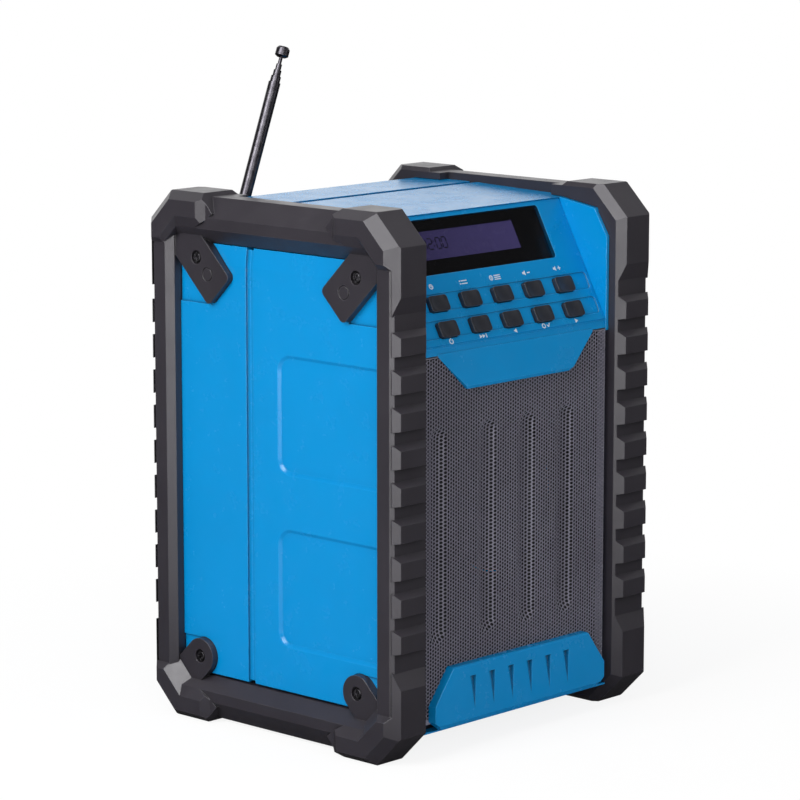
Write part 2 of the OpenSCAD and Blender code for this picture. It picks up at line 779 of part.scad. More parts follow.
// The opening of the ring, which widens outwards on every edge
module ring_window() {
  difference() {
    intersection() {
      along_z(-1, overall_h + 1) polygon([
        [face_x - 2, window_y], [bar_x - 2.5, window_y], [bar_x, window_y - 2.5], [bar_x + 4, window_y - 7],
        [bar_x + 4, overall_d - window_y + 7], [bar_x, overall_d - window_y + 2.5],
        [bar_x - 2.5, overall_d - window_y], [face_x - 2, overall_d - window_y]]);
      along_y(-1, overall_d + 1) polygon([
        [face_x - 2, window_z - 1.5], [side_x, window_z - 1.5], [bar_x, window_z - 5.8],
        [bar_x + 4, window_z - 13.3], [bar_x + 4, overall_h - window_z + 13.3],
        [bar_x, overall_h - window_z + 5.5], [side_x, overall_h - window_z], [face_x - 2, overall_h - window_z]]);
    }
    // the lower corners are filled to a bevel, the upper ones stay upright over the tabs
    front_and_back() {
      corner_wedge(wedge_outline(20.5));
      translate([0, 0, overall_h]) mirror([0, 0, 1]) corner_wedge(wedge_outline(26.1));
    }
  }
}

// The ribs of one front bar, as one saw-tooth strip
rib_top = pad_front_len + 14.3;
rib_slope = 2.1;
rib_count = floor((overall_h - rib_top - pad_front_len - 13.5 - rib_flat) / rib_pitch) + 1;
module ribs() {
  intersection() {
    along_x(face_x, bar_x) for (i = [0:rib_count - 1])
      translate([0, overall_h - rib_top - i * rib_pitch]) polygon([
        [rib_height + 0.4, rib_slope], [rib_height, rib_slope], [0, 0], [0, -rib_flat],
        [rib_height, -rib_flat - 0.3], [rib_height + 0.4, -rib_flat - 0.3]]);
    ring_form(0, 0, bar_x, bar_x - 2.3, bar_x - 4, 4, corner_cut * sqrt(0.5), 2);
  }
}

// The region of one corner pad: its ends slope down to the bars
pad_side_end = 17.7;
module pad_region() {
  intersection() {
    along_x(face_x - 1, pad_x + 1) polygon([
      [-1, overall_h + 1], [-1, overall_h - pad_front_len + 2.8], [0, overall_h - pad_front_len],
      [rib_height + 0.2, overall_h - pad_front_len - 6.8], [rib_height + 0.2, overall_h - 19.8],
      [12, overall_h - 19.8], [pad_top_len + 2.1, overall_h - 10.3], [pad_top_len + 6.5, overall_h - 7],
      [pad_top_len, overall_h], [pad_top_len - 0.9, overall_h + 1]]);
    along_y(-2, overall_d) polygon([
      [face_x - 2, overall_h + 2], [face_x - 2, 0], [bar_x, 0], [bar_x, overall_h - pad_side_end - pad_bulge],
      [pad_x + 1, overall_h - pad_side_end + 1], [pad_x + 1, overall_h + 2]]);
    along_z(0, overall_h + 2) polygon([
      [face_x - 2, -2], [pad_x + 1, -2], [pad_x + 1, pad_top_len - 1.8], [bar_x, pad_top_len + 3.2],
      [bar_x, overall_d], [face_x - 2, overall_d]]);
  }
}

// The tongues that the guards are screwed down by
module tabs() {
  front_and_back() {
    along_x(pocket_x, tab_x) upper_tab_outline(0);
    translate([0, 0, overall_h]) mirror([0, 0, 1]) along_x(pocket_x, tab_x) lower_tab_outline(0);
  }
}

module guard(side) {
  placed() color(rubber_grey) mirror([side < 0 ? 1 : 0, 0, 0]) difference() {
    union() {
      difference() {
        union() {
          ring_form(rib_height, pad_rise, bar_x, bar_x - 1.3, bar_x - 5.5, 7.2, corner_cut * sqrt(0.5) + 1.5, 2);
          intersection() {
            ring_form(0, 0, pad_x, pad_x - edge_chamfer, pad_x - edge_chamfer, 3, corner_cut * sqrt(0.5), 3.9);
            front_and_back() top_and_bottom() pad_region();
          }
          front_and_back() ribs();
        }
        ring_window();
        // the middle of the top and bottom bars is narrower than the pads
        top_and_bottom() translate([face_x - 1, pad_top_len + 6.7, overall_h - 12])
          cube([shoulder_x + case_gap - face_x + 1, overall_d - 2 * (pad_top_len + 6.7), 20]);
        case_form(case_gap);
      }
      tabs();
    }
    // recesses and bores of the screws, and the moulded round marks
    at_guard_screws() {
      rod_x(2.6, tab_x - 1.5, tab_x + 3);
      rod_x(1.6, pocket_x - 1, tab_x);
    }
    front_and_back() translate([0, (41.7 + tab_v) * sqrt(0.5), overall_h - (41.7 - tab_v) * sqrt(0.5)])
      difference() {
        rod_x(2.7, tab_x - 0.3, tab_x + 1);
        rod_x(2.2, tab_x - 0.4, tab_x + 2);
      }
  }
}

module left_guard() guard(-1);
module right_guard() guard(1);

module guard_screws() {
  placed() color(steel) both_sides() at_guard_screws()
    translate([tab_x - 1.5, 0, 0]) rotate([0, 90, 0]) rotate(20)
      screw(4.4, 1.3, 2.5, tab_t - 1.5 + guard_screw_len - 2);
}

module case_screws() {
  placed() color(steel) at_case_screws() translate([0, seam_y + 12, 0])
    rotate([-90, 0, 0]) screw(6, 2.2, 2.5, 30);
}

// ---------- loudspeaker ----------

coil_r = 8.3;
coil_t = 0.8;
coil_gap_r = coil_r + coil_t + 0.5;
module speaker_basket() {
  placed() color("#2E2E31") translate([0, speaker_y, speaker_z]) difference() {
    turned_y() polygon([
      [speaker_d / 2 - 6, 0], [speaker_d / 2, 0], [speaker_d / 2, 1.6], [speaker_d / 2 - 4.9, 1.6],
      [magnet_d / 2 - 0.4, 17], [magnet_d / 2 - 0.4, 19], [coil_gap_r, 19], [coil_gap_r, 17.4],
      [magnet_d / 2 - 1.8, 17.4], [speaker_d / 2 - 6, 2]]);
    at_speaker_screws() rod_y(1.1, -1, 9);
    // four windows between the basket's arms
    for (a = [0:90:270]) rotate([0, a, 0]) translate([magnet_d / 2 + 1.5, 3.6, -7]) cube([speaker_d, 12, 14]);
  }
}

module speaker_magnet() {
  placed() color("#4A4A4E") translate([0, speaker_y + 19, speaker_z]) turned_y() difference() {
    polygon([[0, 0.6], [7, 0.6], [coil_r, 0], [magnet_d / 2 - 3, 0], [magnet_d / 2, 2],
      [magnet_d / 2, 12], [magnet_d / 2 - 4, 12], [magnet_d / 2 - 4, 14], [0, 14]]);
    translate([coil_r - 0.5, -1]) square([coil_gap_r - coil_r + 0.5, 9]);
  }
}

// A half roll between the basket's flange and the cone
module speaker_surround() {
  placed() color("#1E1E20") translate([0, speaker_y, speaker_z]) turned_y() {
    translate([speaker_d / 2 - 10.5, 2.5]) difference() {
      circle(r = 3.6, $fn = 32);
      circle(r = 2.9, $fn = 32);
      translate([-6, 0]) square([12, 12]);
    }
    translate([speaker_d / 2 - 7.6, 1]) square([1.55, 0.8]);
  }
}

module speaker_screws() {
  placed() color(steel) translate([0, speaker_y + 1.6, speaker_z]) at_speaker_screws()
    rotate([-90, 0, 0]) screw(3.6, 1.3, 1.8, 3.2);
}

// The cone, its cap and its coil move together
cone_r = speaker_d / 2 - 14.6;
module speaker_cone() {
  placed() color("#26262A") translate([0, speaker_y, speaker_z]) turned_y() polygon([
    [cone_r, 2.2], [cone_r, 3], [coil_r + coil_t, 13.4], [coil_r - 0.1, 13.4],
    [coil_r - 0.1, 12.4], [cone_r - 1, 2.2]]);
}
module dust_cap() {
  placed() color("#1A1A1C") translate([0, speaker_y, speaker_z]) turned_y() difference() {
    translate([0, 22]) circle(r = 14, $fn = 64);
    translate([0, 22]) circle(r = 13.4, $fn = 64);
    translate([-30, -30]) square([30, 80]);
    translate([0, 11.6]) square([30, 60]);
  }
}
module voice_coil() {
  placed() color("#B4713A") translate([0, speaker_y, speaker_z]) turned_y()
    translate([coil_r, 13.4]) square([coil_t, 8.5]);
}

// ---------- boards, battery and sockets ----------

module main_board() {
  placed() color("#1D5A34") difference() {
    translate([-main_board_w / 2, main_board_y, main_board_z - main_board_h / 2])
      cube([main_board_w, board_t, main_board_h]);
    at_standoffs() rod_y(1.2, main_board_y - 1, main_board_y + 4);
  }
}

module board_chips() {
  placed() translate([0, main_board_y, main_board_z]) {
    color("#1B1B1D") {
      translate([-8, -1.4, -8]) cube([16, 1.4, 16]);
      translate([-30, -1.2, -28]) cube([8, 1.2, 10]);
      translate([16, -1.2, -28]) cube([10, 1.2, 7]);
    }
    // the tuner's can and three capacitors
    color(steel) translate([-34, -3.4, 10]) cube([22, 3.4, 18]);
    color("#20304A") for (i = [0:2]) translate([18 + 9 * i, 0, 20]) rod_y(3.2, -10, 0);
  }
}

module battery_cells() {
  placed() color("#2B6FA8") for (i = [-1, 1])
    at_cell(i) difference() {
      rod_x(cell_d / 2, -cell_len / 2, cell_len / 2);
      difference() {
        rod_x(cell_d, cell_len / 2 - 1.2, cell_len);
        rod_x(3.2, 0, 2 * cell_len);
      }
    }
}
module at_cell(i) {
  translate([0, bay_y + cell_gap + cell_d / 2, bay_z + i * (cell_d + cell_space) / 2]) children();
}

module battery_contacts() {
  placed() color(steel) both_sides() for (i = [-1, 1]) at_cell(i)
    translate([cell_len / 2 + cell_gap, -5, -6]) cube([contact_t, 10, 12]);
}

module battery_cover() {
  placed() color("#2E2E32") difference() {
    translate([0, case_back, bay_z]) rotate([90, 0, 0])
      linear_extrude(cover_t) polygon(round_rect(cover_w - 0.5, cover_h - 0.5, 2.8));
    both_sides() translate([cover_x + 1, 0, bay_z]) {
      rod_y(1.2, case_back - 9, case_back + 1);
      rod_y(2.4, case_back - 1.1, case_back + 1);
    }
    for (i = [-3:3]) translate([i * 7, case_back, bay_z + cover_h / 2 - 8])
      cube([3, 1.2, 8], center = true);
  }
}

module cover_screws() {
  placed() color(steel) both_sides() translate([cover_x + 1, case_back - 1.1, bay_z])
    rotate([-90, 0, 0]) screw(4.2, 1, 1.9, 7);
}

socket_back = case_back - 15;
module jack_board() {
  placed() color("#1D5A34") translate([jack_x - 17, socket_back - board_t, jack_z - 8])
    cube([34, board_t, 14]);
}
module power_inlet() {
  placed() color(black) translate([jack_x - jack_pitch / 2, 0, jack_z]) difference() {
    union() {
      rod_y(4.4, socket_back + 6, case_back - jack_recess_depth);
      translate([-4.6, socket_back, -5.6]) cube([9.2, 7, 10.8]);
    }
    rod_y(inlet_d / 2, socket_back + 2, case_back);
  }
  // the pin in the middle of the inlet
  placed() color(steel) translate([jack_x - jack_pitch / 2, 0, jack_z])
    rod_y(1, socket_back + 2, case_back - jack_recess_depth - 1);
}
module aux_socket() {
  placed() color(black) translate([jack_x + jack_pitch / 2, 0, jack_z]) difference() {
    union() {
      rod_y(3.1, socket_back + 6, case_back - jack_recess_depth);
      translate([-4, socket_back, -5]) cube([8, 7, 10]);
    }
    rod_y(aux_d / 2, socket_back + 1, case_back);
  }
}

// The rubber flap over the sockets turns about a bead along its upper edge
flap_gap = 0.4;
module jack_cover() {
  placed() color("#222225") {
    difference() {
      union() {
        translate([jack_x, case_back - 0.2, jack_z]) rotate([90, 0, 0])
          linear_extrude(1.8) polygon(round_rect(jack_recess_w - 2 * flap_gap, jack_recess_h - 2 * flap_gap, 1.6));
        translate([0, case_back - 1.1, hinge_z]) rod_x(bead_r, jack_x - bead_x, jack_x + bead_x);
        translate([jack_x - 15, case_back - 1.9, jack_z + 4]) cube([30, 1.6, hinge_z - jack_z - 4]);
      }
      translate([jack_x - 6, case_back - 0.8, jack_z - jack_recess_h / 2 - 1]) cube([12, 1.4, 3]);
    }
  }
}

// ---------- antenna ----------

pivot_y = ledge_y + 7;
pivot_z = ledge_z + 5;
spigot_r = 1.5;
cheek_gap = 0.1;
tongue_t = 2.6;
fork_t = 1.6;
fork_r = 2.6;
mast_foot = 3.5;
mast_top = mast_foot + mast_len;

// The frame of the mast at rest: x along the pin, z up the mast
module on_mast() {
  translate([pivot_x, pivot_y, pivot_z]) rotate([0, mast_lean, 0]) children();
}

module antenna_base() {
  placed() color("#1D1D20") translate([pivot_x, 0, pivot_z]) difference() {
    union() {
      rod_y(4.4, ledge_y, ledge_y + 2.6);
      rod_y(2.3, ledge_y - 5, ledge_y + eps);
    }
    rod_y(spigot_r + 0.06, ledge_y - 3.6, ledge_y + 4);
  }
}

module antenna_knuckle() {
  placed() color("#8F9196") on_mast() difference() {
    union() {
      rod_y(spigot_r, -10, -4);
      rod_y(4.1, -4.1, -2.95);
      for (x = [-1, 1]) translate([x * (tongue_t / 2 + cheek_gap + fork_t / 2), 0, 0]) {
        rod_x(fork_r, -fork_t / 2, fork_t / 2);
        translate([-fork_t / 2, -3, -fork_r]) cube([fork_t, 3, 2 * fork_r]);
      }
    }
    rod_x(0.86, -5, 5);
  }
}

module antenna_pin() {
  placed() color(steel) on_mast() {
    rod_x(0.8, -3.1, 3.1);
    for (x = [-1, 1]) translate([x * 3.25, 0, 0]) rod_x(1.3, -0.2, 0.2);
  }
}

module antenna_foot() {
  placed() color("#A9ABB0") on_mast() difference() {
    union() {
      rod_x(2.2, -tongue_t / 2, tongue_t / 2);
      translate([-tongue_t / 2, -1.6, 0]) cube([tongue_t, 3.2, mast_foot + 0.6]);
      translate([0, 0, mast_foot - 0.5]) cylinder(d = mast_d + 0.6, h = 0.5);
      translate([0, 0, mast_foot - eps]) cylinder(d = mast_d - 2 * tube_wall - 0.04, h = 1.4);
    }
    rod_x(0.86, -5, 5);
  }
}

// Section k of the mast, counted from the outer tube, which is section 0
function section_d(k) = mast_d - 2 * k * (tube_wall + tube_gap);
function section_top(k) = mast_top + k * section_step;
section_foot = 5.4;
module antenna_section(k) {
  foot = k == 0 ? mast_foot : section_foot + k;
  placed() color("#C4C6CA") on_mast() difference() {
    translate([0, 0, foot]) cylinder(d = section_d(k), h = section_top(k) - foot);
    translate([0, 0, -1]) cylinder(d = section_d(k) - 2 * tube_wall, h = section_top(k) + 2);
  }
}
module antenna_tube_1() antenna_section(0);
module antenna_tube_2() antenna_section(1);
module antenna_tube_3() antenna_section(2);
module antenna_tube_4() antenna_section(3);

rod_top = section_top(4) + 0.4;
cap_h = 4;
module antenna_rod() {
  placed() color("#C4C6CA") on_mast() {
    translate([0, 0, section_foot + 4]) cylinder(d = section_d(4), h = section_top(4) - section_foot - 4);
    translate([0, 0, section_foot + 4]) cylinder(d = 1, h = rod_top + 2 - section_foot - 4);
  }
}
module antenna_cap() {
  placed() color("#D2D4D8") on_mast() translate([0, 0, rod_top]) difference() {
    rotate_extrude() polygon([[0, 0], [1.7, 0], [2.6, 0.6], [2.6, cap_h - 0.8], [2, cap_h], [0, cap_h]]);
    translate([0, 0, -1]) cylinder(d = 1.02, h = 3.1);
  }
}

front_case();
rear_case();
control_panel();
bottom_trim();
speaker_grille();
speaker_baffle();
left_guard();
right_guard();
guard_screws();
case_screws();
display_lens();
lens_mask();
lcd_module();
button_board();
board_screws();
tact_switches();
main_board();
board_chips();
speaker_basket();
speaker_magnet();
speaker_surround();
speaker_screws();
speaker_cone();
dust_cap();
voice_coil();
battery_cells();
battery_contacts();
battery_cover();
cover_screws();
jack_board();
power_inlet();
aux_socket();
jack_cover();
antenna_base();
antenna_knuckle();
antenna_pin();
antenna_foot();
antenna_tube_1();
antenna_tube_2();
antenna_tube_3();
antenna_tube_4();
antenna_rod();
antenna_cap();
for (k = [0:key_total - 1])
  button(k);
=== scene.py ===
"""Finishes of a jobsite radio, laid out as a Blender add-on and run as a script."""

import math

import bmesh
import bpy
from mathutils import Matrix, Vector


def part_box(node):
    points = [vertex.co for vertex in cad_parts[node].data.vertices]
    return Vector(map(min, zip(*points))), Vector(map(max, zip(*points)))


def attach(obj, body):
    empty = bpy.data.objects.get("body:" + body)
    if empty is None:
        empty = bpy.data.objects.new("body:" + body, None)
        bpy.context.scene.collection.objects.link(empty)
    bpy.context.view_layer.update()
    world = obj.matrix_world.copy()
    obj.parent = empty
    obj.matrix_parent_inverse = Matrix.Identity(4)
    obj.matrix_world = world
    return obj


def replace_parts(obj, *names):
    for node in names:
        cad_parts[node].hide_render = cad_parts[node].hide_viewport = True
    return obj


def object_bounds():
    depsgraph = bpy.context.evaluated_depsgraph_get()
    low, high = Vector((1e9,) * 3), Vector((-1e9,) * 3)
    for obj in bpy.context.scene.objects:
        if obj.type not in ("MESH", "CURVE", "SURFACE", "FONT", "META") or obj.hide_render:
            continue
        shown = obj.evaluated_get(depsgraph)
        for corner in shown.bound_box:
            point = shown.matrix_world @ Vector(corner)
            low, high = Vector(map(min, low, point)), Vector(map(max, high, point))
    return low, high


bl_info = {
    "name": "Jobsite radio finishes",
    "version": (1, 0, 0),
    "blender": (4, 5, 0),
    "location": "3D View > Sidebar > Radio",
    "description": "Dresses the radio's cabinet, guards, grille, keys and antenna",
    "category": "Object",
}

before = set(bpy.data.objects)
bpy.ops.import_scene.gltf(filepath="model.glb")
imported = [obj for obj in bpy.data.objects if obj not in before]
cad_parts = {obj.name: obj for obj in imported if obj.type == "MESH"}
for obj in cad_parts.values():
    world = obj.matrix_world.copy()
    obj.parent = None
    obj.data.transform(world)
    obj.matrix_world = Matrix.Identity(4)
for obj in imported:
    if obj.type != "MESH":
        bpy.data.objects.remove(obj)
CAD_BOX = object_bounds()
MM = 0.001


# ---------- sizes that the pieces share, in metres, from the frame where it has them ----------

GRILLE_LOW, GRILLE_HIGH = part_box("speaker_grille")
LENS_LOW, LENS_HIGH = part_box("display_lens")
PANEL_LOW, PANEL_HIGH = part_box("control_panel")
GUARD_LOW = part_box("right_guard")[0]
TRIM_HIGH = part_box("bottom_trim")[1]

# The key panel's slope: its lean from upright, its length, and how far its foot
# stands behind the front of the guards
PANEL_LEAN = math.radians(28.18)
PANEL_LENGTH = 49.3 * MM
PANEL_SET_BACK = 6.46 * MM
PANEL_FOOT = Vector((
    0,
    GUARD_LOW.y + PANEL_SET_BACK,
    PANEL_HIGH.z - PANEL_LENGTH * math.cos(PANEL_LEAN)))
ON_PANEL = Matrix.Translation(PANEL_FOOT) @ Matrix.Rotation(math.pi / 2 - PANEL_LEAN, 4, "X")

# The shield over the grille's top: half its width at its lower edge, and where
# its slanted sides reach the top of the sheet
SHIELD_HALF = 27 * MM
SHIELD_HALF_AT_TOP = 43 * MM

# The trim over the grille's foot: half its width at its upper edge, and the
# height of its slanted corners
TRIM_HALF_AT_TOP = 37.5 * MM
TRIM_CORNER = 13 * MM

# How far the middles of punched cells lie behind the shield and the trim's sides, and
# behind the trim's upper edge, and how far the plain steel starts behind them all
CELLS_BEHIND = 1.2 * MM
CELLS_BEHIND_TRIM_TOP = 1.4 * MM
PLAIN_BEHIND = 1.0 * MM

# The plain border of the sheet: how far it lies behind the punched face, so that no two
# faces share a plane, its reach into the notches between the outermost cells at the
# sides and at the top, and the width of its lower hem
BORDER_SET_BACK = 0.03 * MM
SIDE_NOTCH = 0.45 * MM
TOP_NOTCH = 0.2 * MM
LOWER_HEM = 1.8 * MM

# The flutes pressed into the grille: their middles and the middles of their round ends
FLUTE_CENTRES = tuple(x * MM for x in (-42.8, -16.0, 5.6, 27.2))
FLUTE_LOW = GRILLE_LOW.z + 34 * MM
FLUTE_HIGH = GRILLE_HIGH.z - 30.4 * MM

# The display glows most near the lens's right end
BRIGHTEST = LENS_HIGH.x - 12 * MM

# The antenna leans to the right
MAST_LEAN = math.radians(20.9)


# ---------- places on the key panel, in millimetres across it and up its slope ----------

KEY_COLUMNS = (-34.6, -17.3, 0.0, 17.3, 34.6)
UPPER_SIGNS = 22.0
LOWER_SIGNS = 0.8
STROKE = 0.38
INK_THICK = 0.02

DIGITS = "1200"
FIRST_DIGIT = -28
DIGIT_STEP = 3.2
COLON_GAP = 1.2
COLON = -22.9
COLON_DOT = 0.5
DIGIT_LINE = 38.6
DIGIT_HEIGHT = 4.2
# The segments lie behind the lens, just in front of the lit field
SEGMENT_LEVEL = -1.88
SEGMENT_THICK = 0.03


# ---------- settings of the add-on ----------

class GrilleSizes(bpy.types.PropertyGroup):
    """Sizes of the perforated steel grille"""

    pitch: bpy.props.FloatProperty(
        name="Hole pitch", description="Distance from hole to hole", default=1.39 * MM,
        min=1 * MM, max=3 * MM, unit="LENGTH", precision=5)
    stretch: bpy.props.FloatProperty(
        name="Stretch", description="Width of a cell against a regular hexagon", default=1.117,
        min=0.8, max=1.4, subtype="FACTOR")
    open_share: bpy.props.FloatProperty(
        name="Open share", description="Width of a hole as a share of the pitch", default=0.78,
        min=0.3, max=0.85, subtype="FACTOR")
    sheet: bpy.props.FloatProperty(
        name="Sheet", description="Thickness of the steel sheet", default=0.3 * MM,
        min=0.2 * MM, max=1 * MM, unit="LENGTH", precision=5)
    margin: bpy.props.FloatProperty(
        name="Plain margin", description="Unpunched border of the sheet", default=0.3 * MM,
        min=0.1 * MM, max=6 * MM, unit="LENGTH", precision=5)
    flute_width: bpy.props.FloatProperty(
        name="Flute width", description="Width of a flute at the face", default=9 * MM,
        min=4 * MM, max=12 * MM, unit="LENGTH", precision=5)
    flute_depth: bpy.props.FloatProperty(
        name="Flute depth", description="Depth of a flute", default=2.2 * MM,
        min=1 * MM, max=2.6 * MM, unit="LENGTH", precision=5)


class FinishColours(bpy.types.PropertyGroup):
    """Colours of the visible finishes, as sRGB hex"""

    cabinet: bpy.props.StringProperty(
        name="Cabinet", description="Moulded ABS of the cabinet", default="#0088C8")
    guards: bpy.props.StringProperty(
        name="Guards", description="Rubber of the guards", default="#302D33")
    grille: bpy.props.StringProperty(
        name="Grille", description="Powder coat of the grille", default="#8E8C9A")
    keys: bpy.props.StringProperty(
        name="Keys", description="Plastic of the keys", default="#22242B")
    display: bpy.props.StringProperty(
        name="Display", description="Lit field of the display", default="#6C62A8")
    print_white: bpy.props.StringProperty(
        name="Print", description="Printed marks of the keys", default="#E9EDF2")


# ---------- nodes, colours and patterns ----------

# The sockets of a Mix node share their names, so they go by number: the share, its two
# plain numbers, its two colours, and the mixed colour that it gives
SHARE, LOW_NUMBER, HIGH_NUMBER, FIRST, SECOND = 0, 2, 3, 6, 7
MIXED = 2


def add(tree, kind, sockets=(), **settings):
    """Adds one node: its settings by name, and its inputs in order, or by name or
    number, each as a value, as a socket, or as a node that gives its first output"""
    node = tree.nodes.new(kind)
    for name, value in settings.items():
        setattr(node, name, value)
    values = sockets.items() if isinstance(sockets, dict) else enumerate(sockets)
    for name, value in values:
        if isinstance(value, bpy.types.Node):
            value = value.outputs[0]
        if isinstance(value, bpy.types.NodeSocket):
            tree.links.new(value, node.inputs[name])
        else:
            node.inputs[name].default_value = value
    return node


def linear(hex_colour):
    """One sRGB hex colour as linear RGBA"""
    channels = [int(hex_colour[i:i + 2], 16) / 255 for i in (1, 3, 5)]
    return tuple(c / 12.92 if c <= 0.04045 else ((c + 0.055) / 1.055) ** 2.4 for c in channels) + (1.0,)


def shade(colour, factor):
    """A linear colour made darker or paler"""
    return tuple(min(1, c * factor) for c in colour[:3]) + (1,)


def per_mm(size_mm):
    """The scale of a pattern whose features are size_mm wide, on metres"""
    return 1000.0 / size_mm


def object_place(tree, scale=(1, 1, 1), turn=(0, 0, 0)):
    """Object coordinates, stretched and turned about the object's origin"""
    place = add(tree, "ShaderNodeTexCoord").outputs["Object"]
    return add(tree, "ShaderNodeMapping", {"Vector": place, "Scale": scale, "Rotation": turn})


def grain(tree, size_mm, detail=3.0, rough=0.5, place=None):
    """A random pattern whose features have a real size"""
    return add(tree, "ShaderNodeTexNoise", {
        "Vector": place or object_place(tree), "Scale": per_mm(size_mm),
        "Detail": detail, "Roughness": rough})


def uneven(tree, size_mm, low, high, detail=3.0, rough=0.5, span=(0.3, 0.7)):
    """A value that wanders between two limits, in patches of a real size"""
    return add(tree, "ShaderNodeMapRange", (grain(tree, size_mm, detail, rough), *span, low, high))


def mottled(tree, size_mm, first, second, detail=3.0, rough=0.5, span=(0.3, 0.7)):
    """Two colours that run into each other, in patches of a real size"""
    patches = uneven(tree, size_mm, 0.0, 1.0, detail, rough, span)
    return add(tree, "ShaderNodeMix", {SHARE: patches, FIRST: first, SECOND: second},
               data_type="RGBA").outputs[MIXED]


# ---------- materials ----------

# How far from a corner the painted shade in creases reaches, and how dark it is against the body colour
PAINTED_SHADE_REACH = 3 * MM
PAINTED_SHADE_DARKNESS = 0.22


def new_material(name):
    """An empty node material and its tree"""
    material = bpy.data.materials.new(name)
    material.use_nodes = True
    material.node_tree.nodes.clear()
    return material, material.node_tree


def finish(material, sockets):
    """Ends a material with its shader and returns it"""
    tree = material.node_tree
    add(tree, "ShaderNodeOutputMaterial", (add(tree, "ShaderNodeBsdfPrincipled", sockets),))
    return material


def moulded(name, colour, edge_wear_and_highlight, rough, grain_mm, grain_depth_mm, edge_mm, spread, coat=0.0,
            shine=0.5, painted_crease_shade=True):
    """A moulded polymer: body colour with cloudy variation, a fine mould grain,
    softened edges a little paler than the flats, partly wear and partly a painted
    highlight, creases darkened with painted shade, and uneven gloss"""
    material, tree = new_material(name)
    body = mottled(tree, 38, shade(colour, 1 - spread), shade(colour, 1 + spread), 4, 0.6, (0.35, 0.65))

    # 0 on flats, rising to 1 along sharp edges, where the softened normal turns away
    soft = add(tree, "ShaderNodeBevel", {"Radius": edge_mm * MM}, samples=6)
    flat = add(tree, "ShaderNodeNewGeometry").outputs["Normal"]
    agree = add(tree, "ShaderNodeVectorMath", (soft, flat), operation="DOT_PRODUCT").outputs["Value"]
    edge = add(tree, "ShaderNodeMapRange", (agree, 0.995, 0.86))
    # Sharp edges take a paler colour in uneven patches: partly wear, partly a painted highlight of the
    # rounded edge
    edge_wear_and_highlight_share = add(tree, "ShaderNodeMath", (edge, uneven(tree, 4, 0.35, 1)), operation="MULTIPLY")
    tint = add(tree, "ShaderNodeMix", {SHARE: edge_wear_and_highlight_share, FIRST: body, SECOND: edge_wear_and_highlight},
               data_type="RGBA").outputs[MIXED]
    # Painted shade: an occlusion mask mixes a dark copy of the body colour into creases and hollows
    if painted_crease_shade:
        sky = add(tree, "ShaderNodeAmbientOcclusion", {"Distance": PAINTED_SHADE_REACH}, samples=6,
                  only_local=True)
        open_share = add(tree, "ShaderNodeMapRange", (sky.outputs["AO"], 0.35, 0.92))
        crease_shade_colour = shade(colour, PAINTED_SHADE_DARKNESS)
        tint = add(tree, "ShaderNodeMix", {SHARE: open_share, FIRST: crease_shade_colour, SECOND: tint},
                   data_type="RGBA").outputs[MIXED]

    bump = add(tree, "ShaderNodeBump", {
        "Height": grain(tree, grain_mm, 2, 0.6), "Distance": grain_depth_mm * MM, "Strength": 1.0,
        "Normal": soft})
    return finish(material, {
        "Base Color": tint, "Roughness": uneven(tree, 9, rough - 0.05, rough + 0.06, 5, 0.65),
        "Normal": bump, "IOR": 1.5, "Specular IOR Level": shine,
        "Coat Weight": coat, "Coat Roughness": 0.12})


def metal(name, colour, dull, rough, scratch_mm, scratch_depth_mm, stretch=(1, 1, 1), turn=(0, 0, 0)):
    """A bare or plated metal: tinted reflection with fine drawn lines and dull spots"""
    material, tree = new_material(name)
    lines = grain(tree, scratch_mm, 3, 0.6, object_place(tree, stretch, turn))
    soft = add(tree, "ShaderNodeBevel", {"Radius": 0.12 * MM}, samples=6)
    bump = add(tree, "ShaderNodeBump", {
        "Height": lines, "Distance": scratch_depth_mm * MM, "Strength": 1.0, "Normal": soft})
    return finish(material, {
        "Base Color": mottled(tree, 3, colour, dull, 5, 0.7, (0.42, 0.62)), "Metallic": 1.0,
        "Roughness": uneven(tree, 2.2, rough, rough + 0.12, 4, 0.7), "Normal": bump})


def cabinet_abs(colours):
    # Injection-moulded ABS with a fine spark-eroded texture: even, satin, faintly
    # pebbled, with a broad soft highlight, and rounded edges painted slightly paler as a highlight
    return moulded("blue_moulded_abs", linear(colours.cabinet), linear("#35ABF0"), rough=0.24,
                   grain_mm=0.8, grain_depth_mm=0.0006, edge_mm=0.5, spread=0.02, shine=0.34)


def guard_rubber(colours):
    # Over-moulded thermoplastic rubber from a blasted mould: dull, fine-grained,
    # greyer along its edges, partly where corners are handled and partly as a painted highlight
    return moulded("charcoal_bumper_rubber", linear(colours.guards), linear("#504D53"), rough=0.38,
                   grain_mm=0.42, grain_depth_mm=0.016, edge_mm=0.35, spread=0.08)


def key_plastic(colours):
    # Moulded ABS key caps, lightly textured: near black with a satin sheen
    return moulded("satin_key_abs", linear(colours.keys), linear("#55555C"), rough=0.36,
                   grain_mm=0.30, grain_depth_mm=0.010, edge_mm=0.35, spread=0.06)


def black_plastic():
    # Glass-filled nylon of hidden and rear fittings: dull black, slightly mottled
    return moulded("black_fitting_nylon", linear("#1B1B1E"), linear("#3A3A3E"), rough=0.48,
                   grain_mm=0.4, grain_depth_mm=0.018, edge_mm=0.3, spread=0.12)


def soft_rubber():
    # Moulded silicone rubber: deep black, dull, with a dusty bloom
    return moulded("soft_black_silicone", linear("#19191B"), linear("#37373A"), rough=0.62,
                   grain_mm=0.3, grain_depth_mm=0.012, edge_mm=0.4, spread=0.15)


def grille_steel(colours):
    # Powder-coated perforated mild steel: grey, low gloss, with orange-peel waviness
    return moulded("powder_coated_grille_steel", linear(colours.grille), linear("#9A97A2"), rough=0.42,
                   grain_mm=0.35, grain_depth_mm=0.010, edge_mm=0.12, spread=0.08, painted_crease_shade=False)


